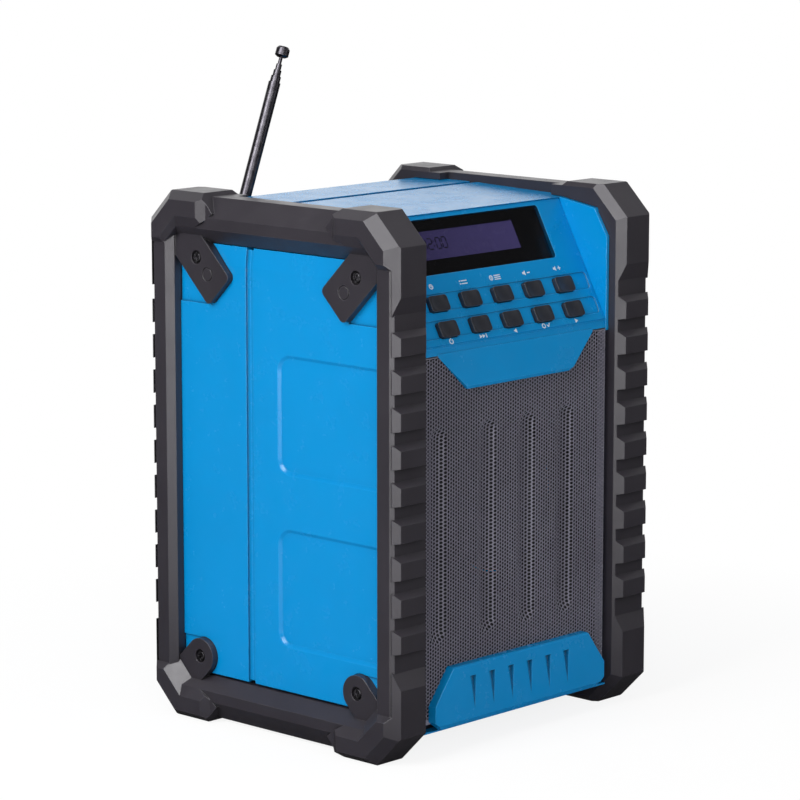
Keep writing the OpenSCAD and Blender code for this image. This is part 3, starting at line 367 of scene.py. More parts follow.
def cell_wrap():
    # Heat-shrunk PVC sleeve of a battery cell: glossy, tight, slightly rippled
    return moulded("cell_shrink_sleeve", linear("#2B6FA8"), linear("#6FA3CC"), rough=0.22,
                   grain_mm=1.4, grain_depth_mm=0.03, edge_mm=0.4, spread=0.05, coat=0.4)


def plated_antenna():
    # Black-nickel plated brass tube: dark satin metal with fine lengthwise draw lines
    return metal("black_nickel_plated_brass_tube", linear("#434146"), linear("#57555A"), rough=0.26,
                 scratch_mm=0.35, scratch_depth_mm=0.004, stretch=(6, 6, 0.4), turn=(0, -MAST_LEAN, 0))


def screw_steel():
    # Blackened zinc on steel screws: dark, slightly oily metal with worn lips
    return metal("black_zinc_screw_steel", linear("#77757A"), linear("#4A484D"), rough=0.34,
                 scratch_mm=0.5, scratch_depth_mm=0.01)


def ferrite():
    # Sintered ferrite ring between plated plates: dark grey, gritty
    return metal("sintered_ferrite", linear("#55555A"), linear("#3C3C40"), rough=0.55,
                 scratch_mm=0.6, scratch_depth_mm=0.03)


def coil_copper():
    # Enamelled copper winding: orange metal lined by its turns
    return metal("enamelled_copper_winding", linear("#C77B45"), linear("#9C5A30"), rough=0.25,
                 scratch_mm=0.4, scratch_depth_mm=0.03, stretch=(1, 12, 1))


def cone_paper():
    # Pressed pulp with a black dye: matt and fibrous
    material, tree = new_material("dyed_pulp_cone")
    fibres = grain(tree, 0.9, 6, 0.75, object_place(tree, (1, 1, 3)))
    share = add(tree, "ShaderNodeMapRange", (fibres, 0.3, 0.7))
    tint = add(tree, "ShaderNodeMix", {SHARE: share, FIRST: linear("#1B1B1E"), SECOND: linear("#323237")},
               data_type="RGBA").outputs[MIXED]
    bump = add(tree, "ShaderNodeBump", {"Height": fibres, "Distance": 0.05 * MM, "Strength": 1.0})
    dullness = add(tree, "ShaderNodeMapRange", (fibres, 0.3, 0.7, 0.7, 0.9))
    return finish(material, {"Base Color": tint, "Roughness": dullness, "Normal": bump})


def circuit_board():
    # Glass-epoxy laminate under green solder mask: glossy lacquer over raised tracks
    material, tree = new_material("solder_mask_laminate")
    fields = add(tree, "ShaderNodeTexVoronoi", {
        "Vector": object_place(tree, turn=(0.5, 0.0, 0.0)), "Scale": per_mm(5), "Randomness": 0.6},
        feature="DISTANCE_TO_EDGE", distance="CHEBYCHEV")
    track = add(tree, "ShaderNodeMapRange", (fields.outputs["Distance"], 0.05, 0.11, 1, 0))
    tint = add(tree, "ShaderNodeMix", {SHARE: track, FIRST: linear("#134A2A"), SECOND: linear("#2C7A48")},
               data_type="RGBA").outputs[MIXED]
    bump = add(tree, "ShaderNodeBump", {"Height": track, "Distance": 0.05 * MM, "Strength": 0.8})
    return finish(material, {"Base Color": tint, "Roughness": uneven(tree, 3, 0.22, 0.36), "Normal": bump})


def lens_acrylic():
    # Smoked acrylic with a polished face: black gloss that lets the lit display through
    material, tree = new_material("smoked_polished_acrylic")
    return finish(material, {
        "Base Color": mottled(tree, 30, linear("#060608"), linear("#0C0C10")),
        "Roughness": uneven(tree, 14, 0.03, 0.09, 5, 0.7), "Alpha": 0.42, "IOR": 1.49})


def lens_print():
    # Screen print on the back of the lens: opaque glossy black with faint dust
    material, tree = new_material("black_screen_print")
    return finish(material, {
        "Base Color": mottled(tree, 0.6, linear("#08080A"), linear("#26262C"), 4, span=(0.62, 0.75)),
        "Roughness": uneven(tree, 8, 0.16, 0.26)})


def display_glass(colours):
    # Negative liquid crystal on a violet-white light guide: it glows evenly, a
    # little brighter towards its right end, through a faint dot raster
    material, tree = new_material("lit_liquid_crystal")
    along = add(tree, "ShaderNodeSeparateXYZ", (object_place(tree),))
    glow = add(tree, "ShaderNodeMapRange", (along, LENS_LOW.x, BRIGHTEST, 0.55, 1.0))
    dots = uneven(tree, 0.35, 0.9, 1.0, 1, span=(0.35, 0.65))
    lit = add(tree, "ShaderNodeMath", (glow, dots), operation="MULTIPLY")
    tint = add(tree, "ShaderNodeMix", {
        SHARE: lit, FIRST: linear("#2C2748"), SECOND: linear(colours.display)},
        data_type="RGBA").outputs[MIXED]
    return finish(material, {
        "Base Color": tint, "Roughness": uneven(tree, 6, 0.2, 0.3),
        "Emission Color": tint, "Emission Strength": 0.55})


def print_ink(colours):
    # Pad-printed epoxy ink: opaque, faintly uneven, semi-matt
    material, tree = new_material("pad_printed_white_ink")
    return finish(material, {
        "Base Color": mottled(tree, 0.5, linear(colours.print_white), linear("#C9D2DC"), 4),
        "Roughness": uneven(tree, 1, 0.45, 0.6)})


def segment_ink():
    # Switched segments of the display: dark violet, slightly glossy
    material, tree = new_material("dark_display_segment")
    return finish(material, {
        "Base Color": mottled(tree, 2, linear("#1A1630"), linear("#262040")),
        "Roughness": uneven(tree, 2, 0.25, 0.4)})


# ---------- mesh helpers ----------

def link_piece(name, mesh, material):
    """Makes a finished piece of the cabinet from a mesh that lies in place"""
    piece = bpy.data.objects.new(name, mesh)
    bpy.context.scene.collection.objects.link(piece)
    mesh.materials.clear()
    mesh.materials.append(material)
    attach(piece, "cabinet")
    return piece


def dress(material, *nodes):
    """Gives every slot of some CAD nodes one material"""
    for name in nodes:
        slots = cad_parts[name].data.materials
        if not slots:
            slots.append(material)
        for i in range(len(slots)):
            slots[i] = material


def add_prism(shape, front, back):
    """A closed prism between two like polygons of new vertices"""
    shape.faces.new(front)
    shape.faces.new(back[::-1])
    for i in range(len(front)):
        k = (i + 1) % len(front)
        shape.faces.new((back[i], back[k], front[k], front[i]))


def mesh_of(shape, name):
    """Turns a shape into a mesh whose faces point outwards, and frees it"""
    mesh = bpy.data.meshes.new(name)
    bmesh.ops.recalc_face_normals(shape, faces=shape.faces)
    shape.to_mesh(mesh)
    shape.free()
    return mesh


def printed_mesh(name, polygons, level, thickness):
    """Thin prisms over the key panel's plane, all in millimetres"""
    shape = bmesh.new()
    for polygon in polygons:
        under, over = (
            [shape.verts.new(ON_PANEL @ Vector((x * MM, y * MM, height * MM))) for x, y in polygon]
            for height in (level, level + thickness))
        add_prism(shape, over, under)
    return mesh_of(shape, name)


# ---------- strokes of the printed signs, in millimetres ----------

def bar(x, y, length, thick, turn=0.0):
    """A straight stroke about its middle, turned by an angle in degrees"""
    c, s = math.cos(math.radians(turn)), math.sin(math.radians(turn))
    corners = [(a * length / 2, b * thick / 2) for a, b in ((-1, -1), (1, -1), (1, 1), (-1, 1))]
    return [(x + a * c - b * s, y + a * s + b * c) for a, b in corners]


def arrow(x, y, size, way):
    """A solid triangle that points left (-1) or right (1)"""
    half = size / 2
    return [(x - way * half, y - half), (x + way * half, y), (x - way * half, y + half)][::way]


def ring(x, y, radius, thick=STROKE, start=0, stop=360, steps=16):
    """A ring, or an open part of one, as short quads from one angle to another, in degrees"""
    quads = []
    for i in range(steps):
        angles = [math.radians(start + (stop - start) * k / steps) for k in (i, i + 1)]
        (c0, s0), (c1, s1) = [(math.cos(angle), math.sin(angle)) for angle in angles]
        inner, outer = radius - thick / 2, radius + thick / 2
        quads.append([
            (x + inner * c0, y + inner * s0), (x + outer * c0, y + outer * s0),
            (x + outer * c1, y + outer * s1), (x + inner * c1, y + inner * s1)])
    return quads


def horn(x, y):
    """A small loudspeaker: its box and its flare"""
    flare = [(x - 0.4, y - 0.4), (x + 0.45, y - 0.95), (x + 0.45, y + 0.95), (x - 0.4, y + 0.4)]
    return [bar(x - 0.75, y, 0.6, 0.8), flare]


def upper_signs(y):
    """Above the upper keys: a clock, a list, a struck ring beside a menu, and the sound down and up"""
    clock, entries, menu, down, up = KEY_COLUMNS
    signs = ring(clock, y, 0.85)
    signs += [bar(clock, y + 0.25, STROKE, 0.6), bar(clock + 0.2, y, 0.6, STROKE)]
    for step in (-0.55, 0.55):
        signs += [bar(entries - 1.8, y + step, 0.5, 0.5), bar(entries + 0.4, y + step, 3.2, STROKE)]
    signs += ring(menu - 2.2, y, 0.85, 0.32)
    signs.append(bar(menu - 2.2, y, 0.32, 0.9))
    signs += [bar(menu + 1.2, y + step, 3.4, 0.34) for step in (-0.75, 0, 0.75)]
    for x in (down, up):
        signs += horn(x - 1.1, y)
        signs.append(bar(x + 1.2, y, 1.6, STROKE))
    signs.append(bar(up + 1.2, y, STROKE, 1.6))
    return signs


def lower_signs(y):
    """Under the lower keys: the mains sign, a search, back, a ring with a tick, and on"""
    mains, search, back, accept, onward = KEY_COLUMNS
    signs = ring(mains, y, 0.9, start=125, stop=415)
    signs.append(bar(mains, y + 0.7, STROKE, 1.0))
    signs += [arrow(search + shift, y, 1.5, 1) for shift in (-1.3, 0.2)]
    signs.append(bar(search + 1.5, y, STROKE, 1.6))
    signs.append(arrow(back, y, 1.7, -1))
    signs += ring(accept - 1.4, y, 0.8)
    signs += [bar(accept + 0.75, y - 0.15, 1.0, STROKE, -50), bar(accept + 1.6, y + 0.15, 1.7, STROKE, 55)]
    signs.append(arrow(onward, y, 1.7, 1))
    return signs


# Which of its seven strokes each digit lights: top, upper right, lower right,
# bottom, lower left, upper left, middle
DIGIT_STROKES = {"1": "bc", "2": "abged", "0": "abcdef"}


def digit(sign, x, y, height):
    """The lit strokes of one digit"""
    wide, thick = height * 0.55, height * 0.11
    half = height / 2
    strokes = {
        "a": (0, half, wide - thick, 0), "g": (0, 0, wide - thick, 0), "d": (0, -half, wide - thick, 0),
        "b": (wide / 2, half / 2, half - thick, 90), "c": (wide / 2, -half / 2, half - thick, 90),
        "e": (-wide / 2, -half / 2, half - thick, 90), "f": (-wide / 2, half / 2, half - thick, 90)}
    lit = [strokes[letter] for letter in DIGIT_STROKES[sign]]
    return [bar(x + across, y + up, length, thick, turn) for across, up, length, turn in lit]


def clock_face():
    """The display's four digits and their colon"""
    shapes = []
    for i, sign in enumerate(DIGITS):
        gap = COLON_GAP if i >= len(DIGITS) // 2 else 0
        shapes += digit(sign, FIRST_DIGIT + DIGIT_STEP * i + gap, DIGIT_LINE, DIGIT_HEIGHT)
    return shapes + [bar(COLON, DIGIT_LINE + step, COLON_DOT, COLON_DOT) for step in (-0.9, 0.9)]


# ---------- the perforated grille, made by Geometry Nodes ----------

def punched_cell(tree, given):
    """One cell of the sheet: a hexagon with a hexagonal hole, and the hole's wall"""
    radius = add(tree, "ShaderNodeMath", (given["Pitch"], math.sqrt(3)), operation="DIVIDE")
    cell = add(tree, "GeometryNodeMeshCircle", {"Vertices": 6, "Radius": radius}, fill_type="NGON")
    border = add(tree, "GeometryNodeExtrudeMesh", {"Mesh": cell, "Offset Scale": 0.0}, mode="FACES")
    hole = border.outputs["Top"]
    small = add(tree, "GeometryNodeScaleElements", {
        "Geometry": border, "Selection": hole, "Scale": given["Open share"]})
    wall = add(tree, "GeometryNodeExtrudeMesh", {
        "Mesh": small, "Selection": hole, "Offset": (0, 0, -1), "Offset Scale": given["Sheet"],
        "Individual": False}, mode="FACES")
    return add(tree, "GeometryNodeDeleteGeometry", {
        "Geometry": wall, "Selection": wall.outputs["Top"]}, domain="FACE")


def cell_middles(tree, given):
    """A staggered lattice: columns across, every second one shifted by half a pitch"""
    pitch, margin = given["Pitch"], given["Margin"]
    stretched = add(tree, "ShaderNodeMath", (pitch, given["Stretch"]), operation="MULTIPLY")
    radius = add(tree, "ShaderNodeMath", (stretched, 1 / math.sqrt(3)), operation="MULTIPLY")
    column = add(tree, "ShaderNodeMath", (radius, 1.5), operation="MULTIPLY")

    # the columns and rows that fit between the plain margins, and the first column's place
    side = add(tree, "ShaderNodeMath", (radius, margin), operation="ADD")
    sides = add(tree, "ShaderNodeMath", (side, 2.0), operation="MULTIPLY")
    room = add(tree, "ShaderNodeMath", (GRILLE_HIGH.x - GRILLE_LOW.x, sides), operation="SUBTRACT")
    fitting = add(tree, "ShaderNodeMath", (room, column), operation="DIVIDE")
    gaps = add(tree, "ShaderNodeMath", (fitting,), operation="FLOOR")
    columns = add(tree, "ShaderNodeMath", (gaps, 1.0), operation="ADD")
    width = add(tree, "ShaderNodeMath", (gaps, column), operation="MULTIPLY")
    first = add(tree, "ShaderNodeMath", (width, -0.5), operation="MULTIPLY")
    pitches = add(tree, "ShaderNodeMath", (GRILLE_HIGH.z - GRILLE_LOW.z, pitch), operation="DIVIDE")
    spare = add(tree, "ShaderNodeMath", (pitches, 1.0), operation="SUBTRACT")
    rows = add(tree, "ShaderNodeMath", (spare,), operation="FLOOR")
    count = add(tree, "ShaderNodeMath", (columns, rows), operation="MULTIPLY")

    # a cell's column and row, and from them its place
    index = add(tree, "GeometryNodeInputIndex")
    part = add(tree, "ShaderNodeMath", (index, rows), operation="DIVIDE")
    number = add(tree, "ShaderNodeMath", (part,), operation="FLOOR")
    before = add(tree, "ShaderNodeMath", (number, rows), operation="MULTIPLY")
    row = add(tree, "ShaderNodeMath", (index, before), operation="SUBTRACT")
    odd = add(tree, "ShaderNodeMath", (number, 2.0), operation="MODULO")
    shift = add(tree, "ShaderNodeMath", (odd, 0.5), operation="MULTIPLY")
    across = add(tree, "ShaderNodeMath", (number, column), operation="MULTIPLY")
    x = add(tree, "ShaderNodeMath", (across, first), operation="ADD")
    shifted = add(tree, "ShaderNodeMath", (row, shift), operation="ADD")
    middle = add(tree, "ShaderNodeMath", (shifted, 0.5), operation="ADD")
    down = add(tree, "ShaderNodeMath", (middle, pitch), operation="MULTIPLY")
    below_edge = add(tree, "ShaderNodeMath", (down, margin), operation="ADD")
    z = add(tree, "ShaderNodeMath", (GRILLE_HIGH.z, below_edge), operation="SUBTRACT")
    place = add(tree, "ShaderNodeCombineXYZ", (x, GRILLE_LOW.y, z))
    return add(tree, "GeometryNodePoints", {"Count": count, "Position": place})


def left_out(tree, given):
    """1 for cells that the shield or the trim hides, and for those past the piece's sides"""
    place = add(tree, "ShaderNodeSeparateXYZ", (add(tree, "GeometryNodeInputPosition"),)).outputs
    x, z = place["X"], place["Z"]
    side = add(tree, "ShaderNodeMath", (x,), operation="ABSOLUTE")
    upper = add(tree, "ShaderNodeMapRange", (
        side, SHIELD_HALF, SHIELD_HALF_AT_TOP,
        PANEL_LOW.z + CELLS_BEHIND, GRILLE_HIGH.z + CELLS_BEHIND))
    lower = add(tree, "ShaderNodeMapRange", (
        side, TRIM_HALF_AT_TOP, TRIM_HIGH.x,
        TRIM_HIGH.z - CELLS_BEHIND_TRIM_TOP, TRIM_HIGH.z - CELLS_BEHIND_TRIM_TOP - TRIM_CORNER))
    above = add(tree, "ShaderNodeMath", (z, upper), operation="GREATER_THAN")
    beside = add(tree, "ShaderNodeMath", (side, TRIM_HIGH.x - CELLS_BEHIND), operation="LESS_THAN")
    low = add(tree, "ShaderNodeMath", (z, lower), operation="LESS_THAN")
    below = add(tree, "ShaderNodeMath", (low, beside), operation="MULTIPLY")
    past_left = add(tree, "ShaderNodeMath", (x, given["Left edge"]), operation="LESS_THAN")
    past_right = add(tree, "ShaderNodeMath", (x, given["Right edge"]), operation="GREATER_THAN")
    reason = above
    for other in (below, past_left, past_right):
        reason = add(tree, "ShaderNodeMath", (reason, other), operation="MAXIMUM")
    return reason


def flute_depth_at(tree, x, z, given):
    """How deep the sheet lies at x, z: round channels that fade at their ends"""
    # the circle through both edges and the bottom of a channel
    depth = given["Flute depth"]
    half = add(tree, "ShaderNodeMath", (given["Flute width"], 0.5), operation="MULTIPLY")
    squares = [add(tree, "ShaderNodeMath", (value, value), operation="MULTIPLY") for value in (half, depth)]
    sum_of_squares = add(tree, "ShaderNodeMath", squares, operation="ADD")
    twice = add(tree, "ShaderNodeMath", (depth, 2.0), operation="MULTIPLY")
    radius = add(tree, "ShaderNodeMath", (sum_of_squares, twice), operation="DIVIDE")
    proud = add(tree, "ShaderNodeMath", (radius, depth), operation="SUBTRACT")

    # how far z lies past the straight run, above or below it
    over = add(tree, "ShaderNodeMath", (z, FLUTE_HIGH), operation="SUBTRACT")
    under = add(tree, "ShaderNodeMath", (FLUTE_LOW, z), operation="SUBTRACT")
    above, below = [add(tree, "ShaderNodeMath", (way, 0.0), operation="MAXIMUM") for way in (over, under)]
    past = add(tree, "ShaderNodeMath", (above, below), operation="ADD")
    radius_squared = add(tree, "ShaderNodeMath", (radius, radius), operation="MULTIPLY")
    past_squared = add(tree, "ShaderNodeMath", (past, past), operation="MULTIPLY")
    left_over = add(tree, "ShaderNodeMath", (radius_squared, past_squared), operation="SUBTRACT")

    total = 0.0
    for centre in FLUTE_CENTRES:
        off = add(tree, "ShaderNodeMath", (x, centre), operation="SUBTRACT")
        off_squared = add(tree, "ShaderNodeMath", (off, off), operation="MULTIPLY")
        inside = add(tree, "ShaderNodeMath", (left_over, off_squared), operation="SUBTRACT")
        square = add(tree, "ShaderNodeMath", (inside, 0.0), operation="MAXIMUM")
        reach = add(tree, "ShaderNodeMath", (square,), operation="SQRT")
        signed = add(tree, "ShaderNodeMath", (reach, proud), operation="SUBTRACT")
        deep = add(tree, "ShaderNodeMath", (signed, 0.0), operation="MAXIMUM")
        total = add(tree, "ShaderNodeMath", (total, deep), operation="ADD")
    return total


def grille_tree():
    """The perforated sheet: cells on their lattice, joined and pressed into flutes"""
    tree = bpy.data.node_groups.new("perforated_sheet", "GeometryNodeTree")
    tree.is_modifier = True
    for name in ("Pitch", "Stretch", "Open share", "Sheet", "Flute width", "Flute depth", "Margin",
                 "Left edge", "Right edge"):
        tree.interface.new_socket(name, in_out="INPUT", socket_type="NodeSocketFloat")
    tree.interface.new_socket("Finish", in_out="INPUT", socket_type="NodeSocketMaterial")
    tree.interface.new_socket("Geometry", in_out="OUTPUT", socket_type="NodeSocketGeometry")
    given = add(tree, "NodeGroupInput").outputs

    middles = add(tree, "GeometryNodeDeleteGeometry", {
        "Geometry": cell_middles(tree, given), "Selection": left_out(tree, given)}, domain="POINT")
    stretch = add(tree, "ShaderNodeCombineXYZ", (given["Stretch"], 1.0, 1.0))
    laid = add(tree, "GeometryNodeInstanceOnPoints", {
        "Points": middles, "Instance": punched_cell(tree, given), "Rotation": (math.pi / 2, 0, 0),
        "Scale": stretch})
    cells = add(tree, "GeometryNodeRealizeInstances", (laid,))
    joined = add(tree, "GeometryNodeMergeByDistance", {"Geometry": cells, "Distance": 0.02 * MM})
    place = add(tree, "ShaderNodeSeparateXYZ", (add(tree, "GeometryNodeInputPosition"),)).outputs
    press = add(tree, "ShaderNodeCombineXYZ", (0.0, flute_depth_at(tree, place["X"], place["Z"], given), 0.0))
    pressed = add(tree, "GeometryNodeSetPosition", {"Geometry": joined, "Offset": press})
    finished = add(tree, "GeometryNodeSetMaterial", {"Geometry": pressed, "Material": given["Finish"]})
    add(tree, "NodeGroupOutput", (finished,))
    return tree


def evaluated_mesh(tree, name, values):
    """Runs a node tree once with named inputs and returns its plain mesh"""
    holder = bpy.data.objects.new(name + "_maker", bpy.data.meshes.new(name + "_seed"))
    bpy.context.scene.collection.objects.link(holder)
    modifier = holder.modifiers.new("maker", "NODES")
    modifier.node_group = tree
    for item in tree.interface.items_tree:
        if item.in_out == "INPUT" and item.name in values:
            modifier[item.identifier] = values[item.name]
    graph = bpy.context.evaluated_depsgraph_get()
    graph.update()
    mesh = bpy.data.meshes.new_from_object(holder.evaluated_get(graph))
    mesh.name = name
    bpy.data.objects.remove(holder)
    return mesh


def rim_mesh(sizes):
    """The unpunched border of the sheet and its folded edges"""
    shape = bmesh.new()
    front, back = GRILLE_LOW.y + BORDER_SET_BACK, GRILLE_HIGH.y
    outer, bottom, top = GRILLE_HIGH.x, GRILLE_LOW.z, GRILLE_HIGH.z
    inner = outer - sizes.margin - SIDE_NOTCH
    high_hem = top - sizes.margin - TOP_NOTCH
    low_hem = bottom + LOWER_HEM
    shield_z = PANEL_LOW.z + PLAIN_BEHIND
    shield_top = SHIELD_HALF_AT_TOP - 2 * PLAIN_BEHIND
    trim_z = TRIM_HIGH.z - PLAIN_BEHIND
    trim_side = TRIM_HIGH.x - PLAIN_BEHIND
    trim_top = TRIM_HALF_AT_TOP - PLAIN_BEHIND
    plates = [[(way * inner, bottom), (way * outer, bottom), (way * outer, top), (way * inner, top)]
              for way in (-1, 1)]
    plates += [
        [(-inner, high_hem), (inner, high_hem), (inner, top), (-inner, top)],
        [(-SHIELD_HALF, shield_z), (SHIELD_HALF, shield_z), (shield_top, high_hem), (-shield_top, high_hem)],
        [(-trim_side, low_hem), (trim_side, low_hem), (trim_side, trim_z - TRIM_CORNER), (trim_top, trim_z),
         (-trim_top, trim_z), (-trim_side, trim_z - TRIM_CORNER)],
        [(-inner, bottom), (inner, bottom), (inner, low_hem), (-inner, low_hem)]]
    for points in plates:
        face, rear = ([shape.verts.new((x, y, z)) for x, z in points] for y in (front, front + sizes.sheet))
        add_prism(shape, face, rear)

    folds = (((-outer, bottom), (-outer + sizes.sheet, top)), ((outer - sizes.sheet, bottom), (outer, top)),
             ((-outer, bottom), (outer, bottom + sizes.sheet)), ((-outer, top - sizes.sheet), (outer, top)))
    for (x0, z0), (x1, z1) in folds:
        middle = Vector(((x0 + x1) / 2, (front + back) / 2, (z0 + z1) / 2))
        spread = Vector((x1 - x0, back - front, z1 - z0))
        for corner in bmesh.ops.create_cube(shape, size=1)["verts"]:
            corner.co = corner.co * spread + middle
    return mesh_of(shape, "grille_rim")


# ---------- operators: one for each piece or group of like pieces ----------

class RADIO_OT_cabinet(bpy.types.Operator):
    """Finish the moulded cabinet, its trim, its black fittings and its rubber parts"""

    bl_idname = "radio.cabinet"
    bl_label = "Cabinet"

    def execute(self, context):
        colours = context.scene.radio_colours
        dress(cabinet_abs(colours), "front_case", "rear_case", "control_panel", "bottom_trim")
        dress(black_plastic(), "battery_cover", "power_inlet", "aux_socket", "antenna_base",
              "tact_switches", "board_chips", "speaker_basket", "speaker_baffle")
        dress(soft_rubber(), "jack_cover", "speaker_surround")
        return {"FINISHED"}


class RADIO_OT_guards(bpy.types.Operator):
    """Finish the two rubber guards and every screw"""

    bl_idname = "radio.guards"
    bl_label = "Guards"

    def execute(self, context):
        dress(guard_rubber(context.scene.radio_colours), "left_guard", "right_guard")
        dress(screw_steel(), "guard_screws", "case_screws", "board_screws", "speaker_screws",
              "cover_screws", "battery_contacts")
        return {"FINISHED"}


class RADIO_OT_grille(bpy.types.Operator):
    """Punch the fluted sheet of the loudspeaker's grille"""

    bl_idname = "radio.grille"
    bl_label = "Grille"

    def execute(self, context):
        sizes = context.scene.radio_grille
        steel = grille_steel(context.scene.radio_colours)
        tree = grille_tree()
        side = GRILLE_HIGH.x
        meshes = {"grille_rim": rim_mesh(sizes)}
        for name, left, right in (("grille_sheet_left", -side, 0.0), ("grille_sheet_right", 0.0, side)):
            meshes[name] = evaluated_mesh(tree, name, {
                "Pitch": sizes.pitch, "Stretch": sizes.stretch, "Open share": sizes.open_share,
                "Sheet": sizes.sheet, "Margin": sizes.margin,
                "Flute width": sizes.flute_width, "Flute depth": sizes.flute_depth,
                "Left edge": left, "Right edge": right, "Finish": steel})
        for name, mesh in meshes.items():
            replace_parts(link_piece(name, mesh, steel), "speaker_grille")
        return {"FINISHED"}


class RADIO_OT_loudspeaker(bpy.types.Operator):
    """Finish the loudspeaker behind the grille"""

    bl_idname = "radio.loudspeaker"
    bl_label = "Loudspeaker"

    def execute(self, context):
        dress(cone_paper(), "speaker_cone", "dust_cap")
        dress(ferrite(), "speaker_magnet")
        dress(coil_copper(), "voice_coil")
        return {"FINISHED"}


class RADIO_OT_keys(bpy.types.Operator):
    """Finish the keys and print a plain mark beside each"""

    bl_idname = "radio.keys"
    bl_label = "Keys"

    def execute(self, context):
        colours = context.scene.radio_colours
        dress(key_plastic(colours), *[f"button_{k}" for k in range(1, 11)])
        mesh = printed_mesh("key_marks", upper_signs(UPPER_SIGNS) + lower_signs(LOWER_SIGNS), 0.0, INK_THICK)
        link_piece("key_marks", mesh, print_ink(colours))
        return {"FINISHED"}


class RADIO_OT_display(bpy.types.Operator):
    """Finish the lens and its print, light the display and set its digits"""

    bl_idname = "radio.display"
    bl_label = "Display"

    def execute(self, context):
        dress(lens_acrylic(), "display_lens")
        dress(lens_print(), "lens_mask")
        dress(display_glass(context.scene.radio_colours), "lcd_module")
        mesh = printed_mesh("display_digits", clock_face(), SEGMENT_LEVEL, SEGMENT_THICK)
        link_piece("display_digits", mesh, segment_ink())
        return {"FINISHED"}


class RADIO_OT_boards(bpy.types.Operator):
    """Finish the circuit boards and the battery cells"""

    bl_idname = "radio.boards"
    bl_label = "Boards and cells"

    def execute(self, context):
        dress(circuit_board(), "main_board", "button_board", "jack_board")
        dress(cell_wrap(), "battery_cells")
        return {"FINISHED"}


class RADIO_OT_antenna(bpy.types.Operator):
    """Plate the telescopic antenna"""

    bl_idname = "radio.antenna"
    bl_label = "Antenna"

    def execute(self, context):
        dress(plated_antenna(), "antenna_knuckle", "antenna_foot", "antenna_pin", "antenna_rod",
              "antenna_cap", *[f"antenna_tube_{k}" for k in range(1, 5)])
        return {"FINISHED"}


class RADIO_OT_stage(bpy.types.Operator):
    """Set the floor, the studio lights, the world and the camera"""

    bl_idname = "radio.stage"
    bl_label = "Stage"

    def execute(self, context):
        make_floor()
        make_lights()
        make_world()
        make_camera()
        context.scene.view_settings.view_transform = "Standard"
        return {"FINISHED"}


# ---------- stage ----------

CAMERA_PLACE = Vector((-936.93, -880.68, 341.77)) * MM
CAMERA_AZIMUTH = math.radians(46.745)
CAMERA_ELEVATION = math.radians(9.849)
CAMERA_LENS = 155.39

# Directions from the radio: away from the camera, towards it, and up over its left front corner
BEHIND = Vector((math.sin(CAMERA_AZIMUTH), math.cos(CAMERA_AZIMUTH), 0.0))
FRONT = -BEHIND
ABOVE = Vector((-0.35, -0.36, 0.865))

# The world's strength to the camera, as light, and in mirrors: plain, and in two
# soft fields, each with how closely a ray has to agree with its direction
WORLD_SEEN = 1.0
WORLD_LIGHT = 0.34
WORLD_MIRRORED = 0.10
BEHIND_MIRRORED, BEHIND_FIELD = 1.2, (0.45, 0.8)
ABOVE_MIRRORED, ABOVE_FIELD = 5.6, (0.80, 0.93)

# The floor, in metres from the radio's middle: where its shadow fades, and in mirrors
# where the card towards the camera starts, where it brightens, and how wide it is
FLOOR_HALF = 3.0
FLOOR_GLOW, SHADOW_FADES = 0.85, (0.05, 0.30)
FLOOR_MIRRORED = 0.03
CARD_NEAR, CARD_STARTS = 1.6, (0.14, 0.22)
CARD_FAR, CARD_BRIGHTENS = 6.0, (0.60, 0.95)
CARD_FIELD = (0.72, 0.9)

LIGHTS = (
    # name, place, side in metres, watts
    ("side_box", (-1.12, -0.05, 0.78), 0.6, 11.9),
    ("camera_box", (-0.9, -0.95, 0.45), 0.5, 4.0),
    ("top_box", (0.1, 0.1, 1.4), 0.9, 1.2),
    ("front_box", (0.7, -1.3, 0.5), 0.5, 1.2),
)
LIGHTS_AIM = Vector((0, 0, 0.1))


def make_camera():
    """A long lens, low over the floor, at the radio's left front corner"""
    data = bpy.data.cameras.new("product_camera")
    data.sensor_width = 36
    data.lens = CAMERA_LENS
    data.clip_start = 0.05
    camera = bpy.data.objects.new("product_camera", data)
    bpy.context.scene.collection.objects.link(camera)
    back = Vector((
        -math.sin(CAMERA_AZIMUTH) * math.cos(CAMERA_ELEVATION),
        -math.cos(CAMERA_AZIMUTH) * math.cos(CAMERA_ELEVATION),
        math.sin(CAMERA_ELEVATION)))
    right = Vector((math.cos(CAMERA_AZIMUTH), -math.sin(CAMERA_AZIMUTH), 0))
    up = back.cross(right)
    turn = Matrix((right, up, back)).transposed().to_4x4()
    camera.matrix_world = Matrix.Translation(CAMERA_PLACE) @ turn
    bpy.context.scene.camera = camera


def seen_rays(tree):
    """1 for the camera's own rays, and 1 for rays that are mirrored or pass through glass"""
    path = add(tree, "ShaderNodeLightPath").outputs
    sharp = (path["Is Glossy Ray"], path["Is Transmission Ray"])
    return path["Is Camera Ray"], add(tree, "ShaderNodeMath", sharp, operation="MAXIMUM")


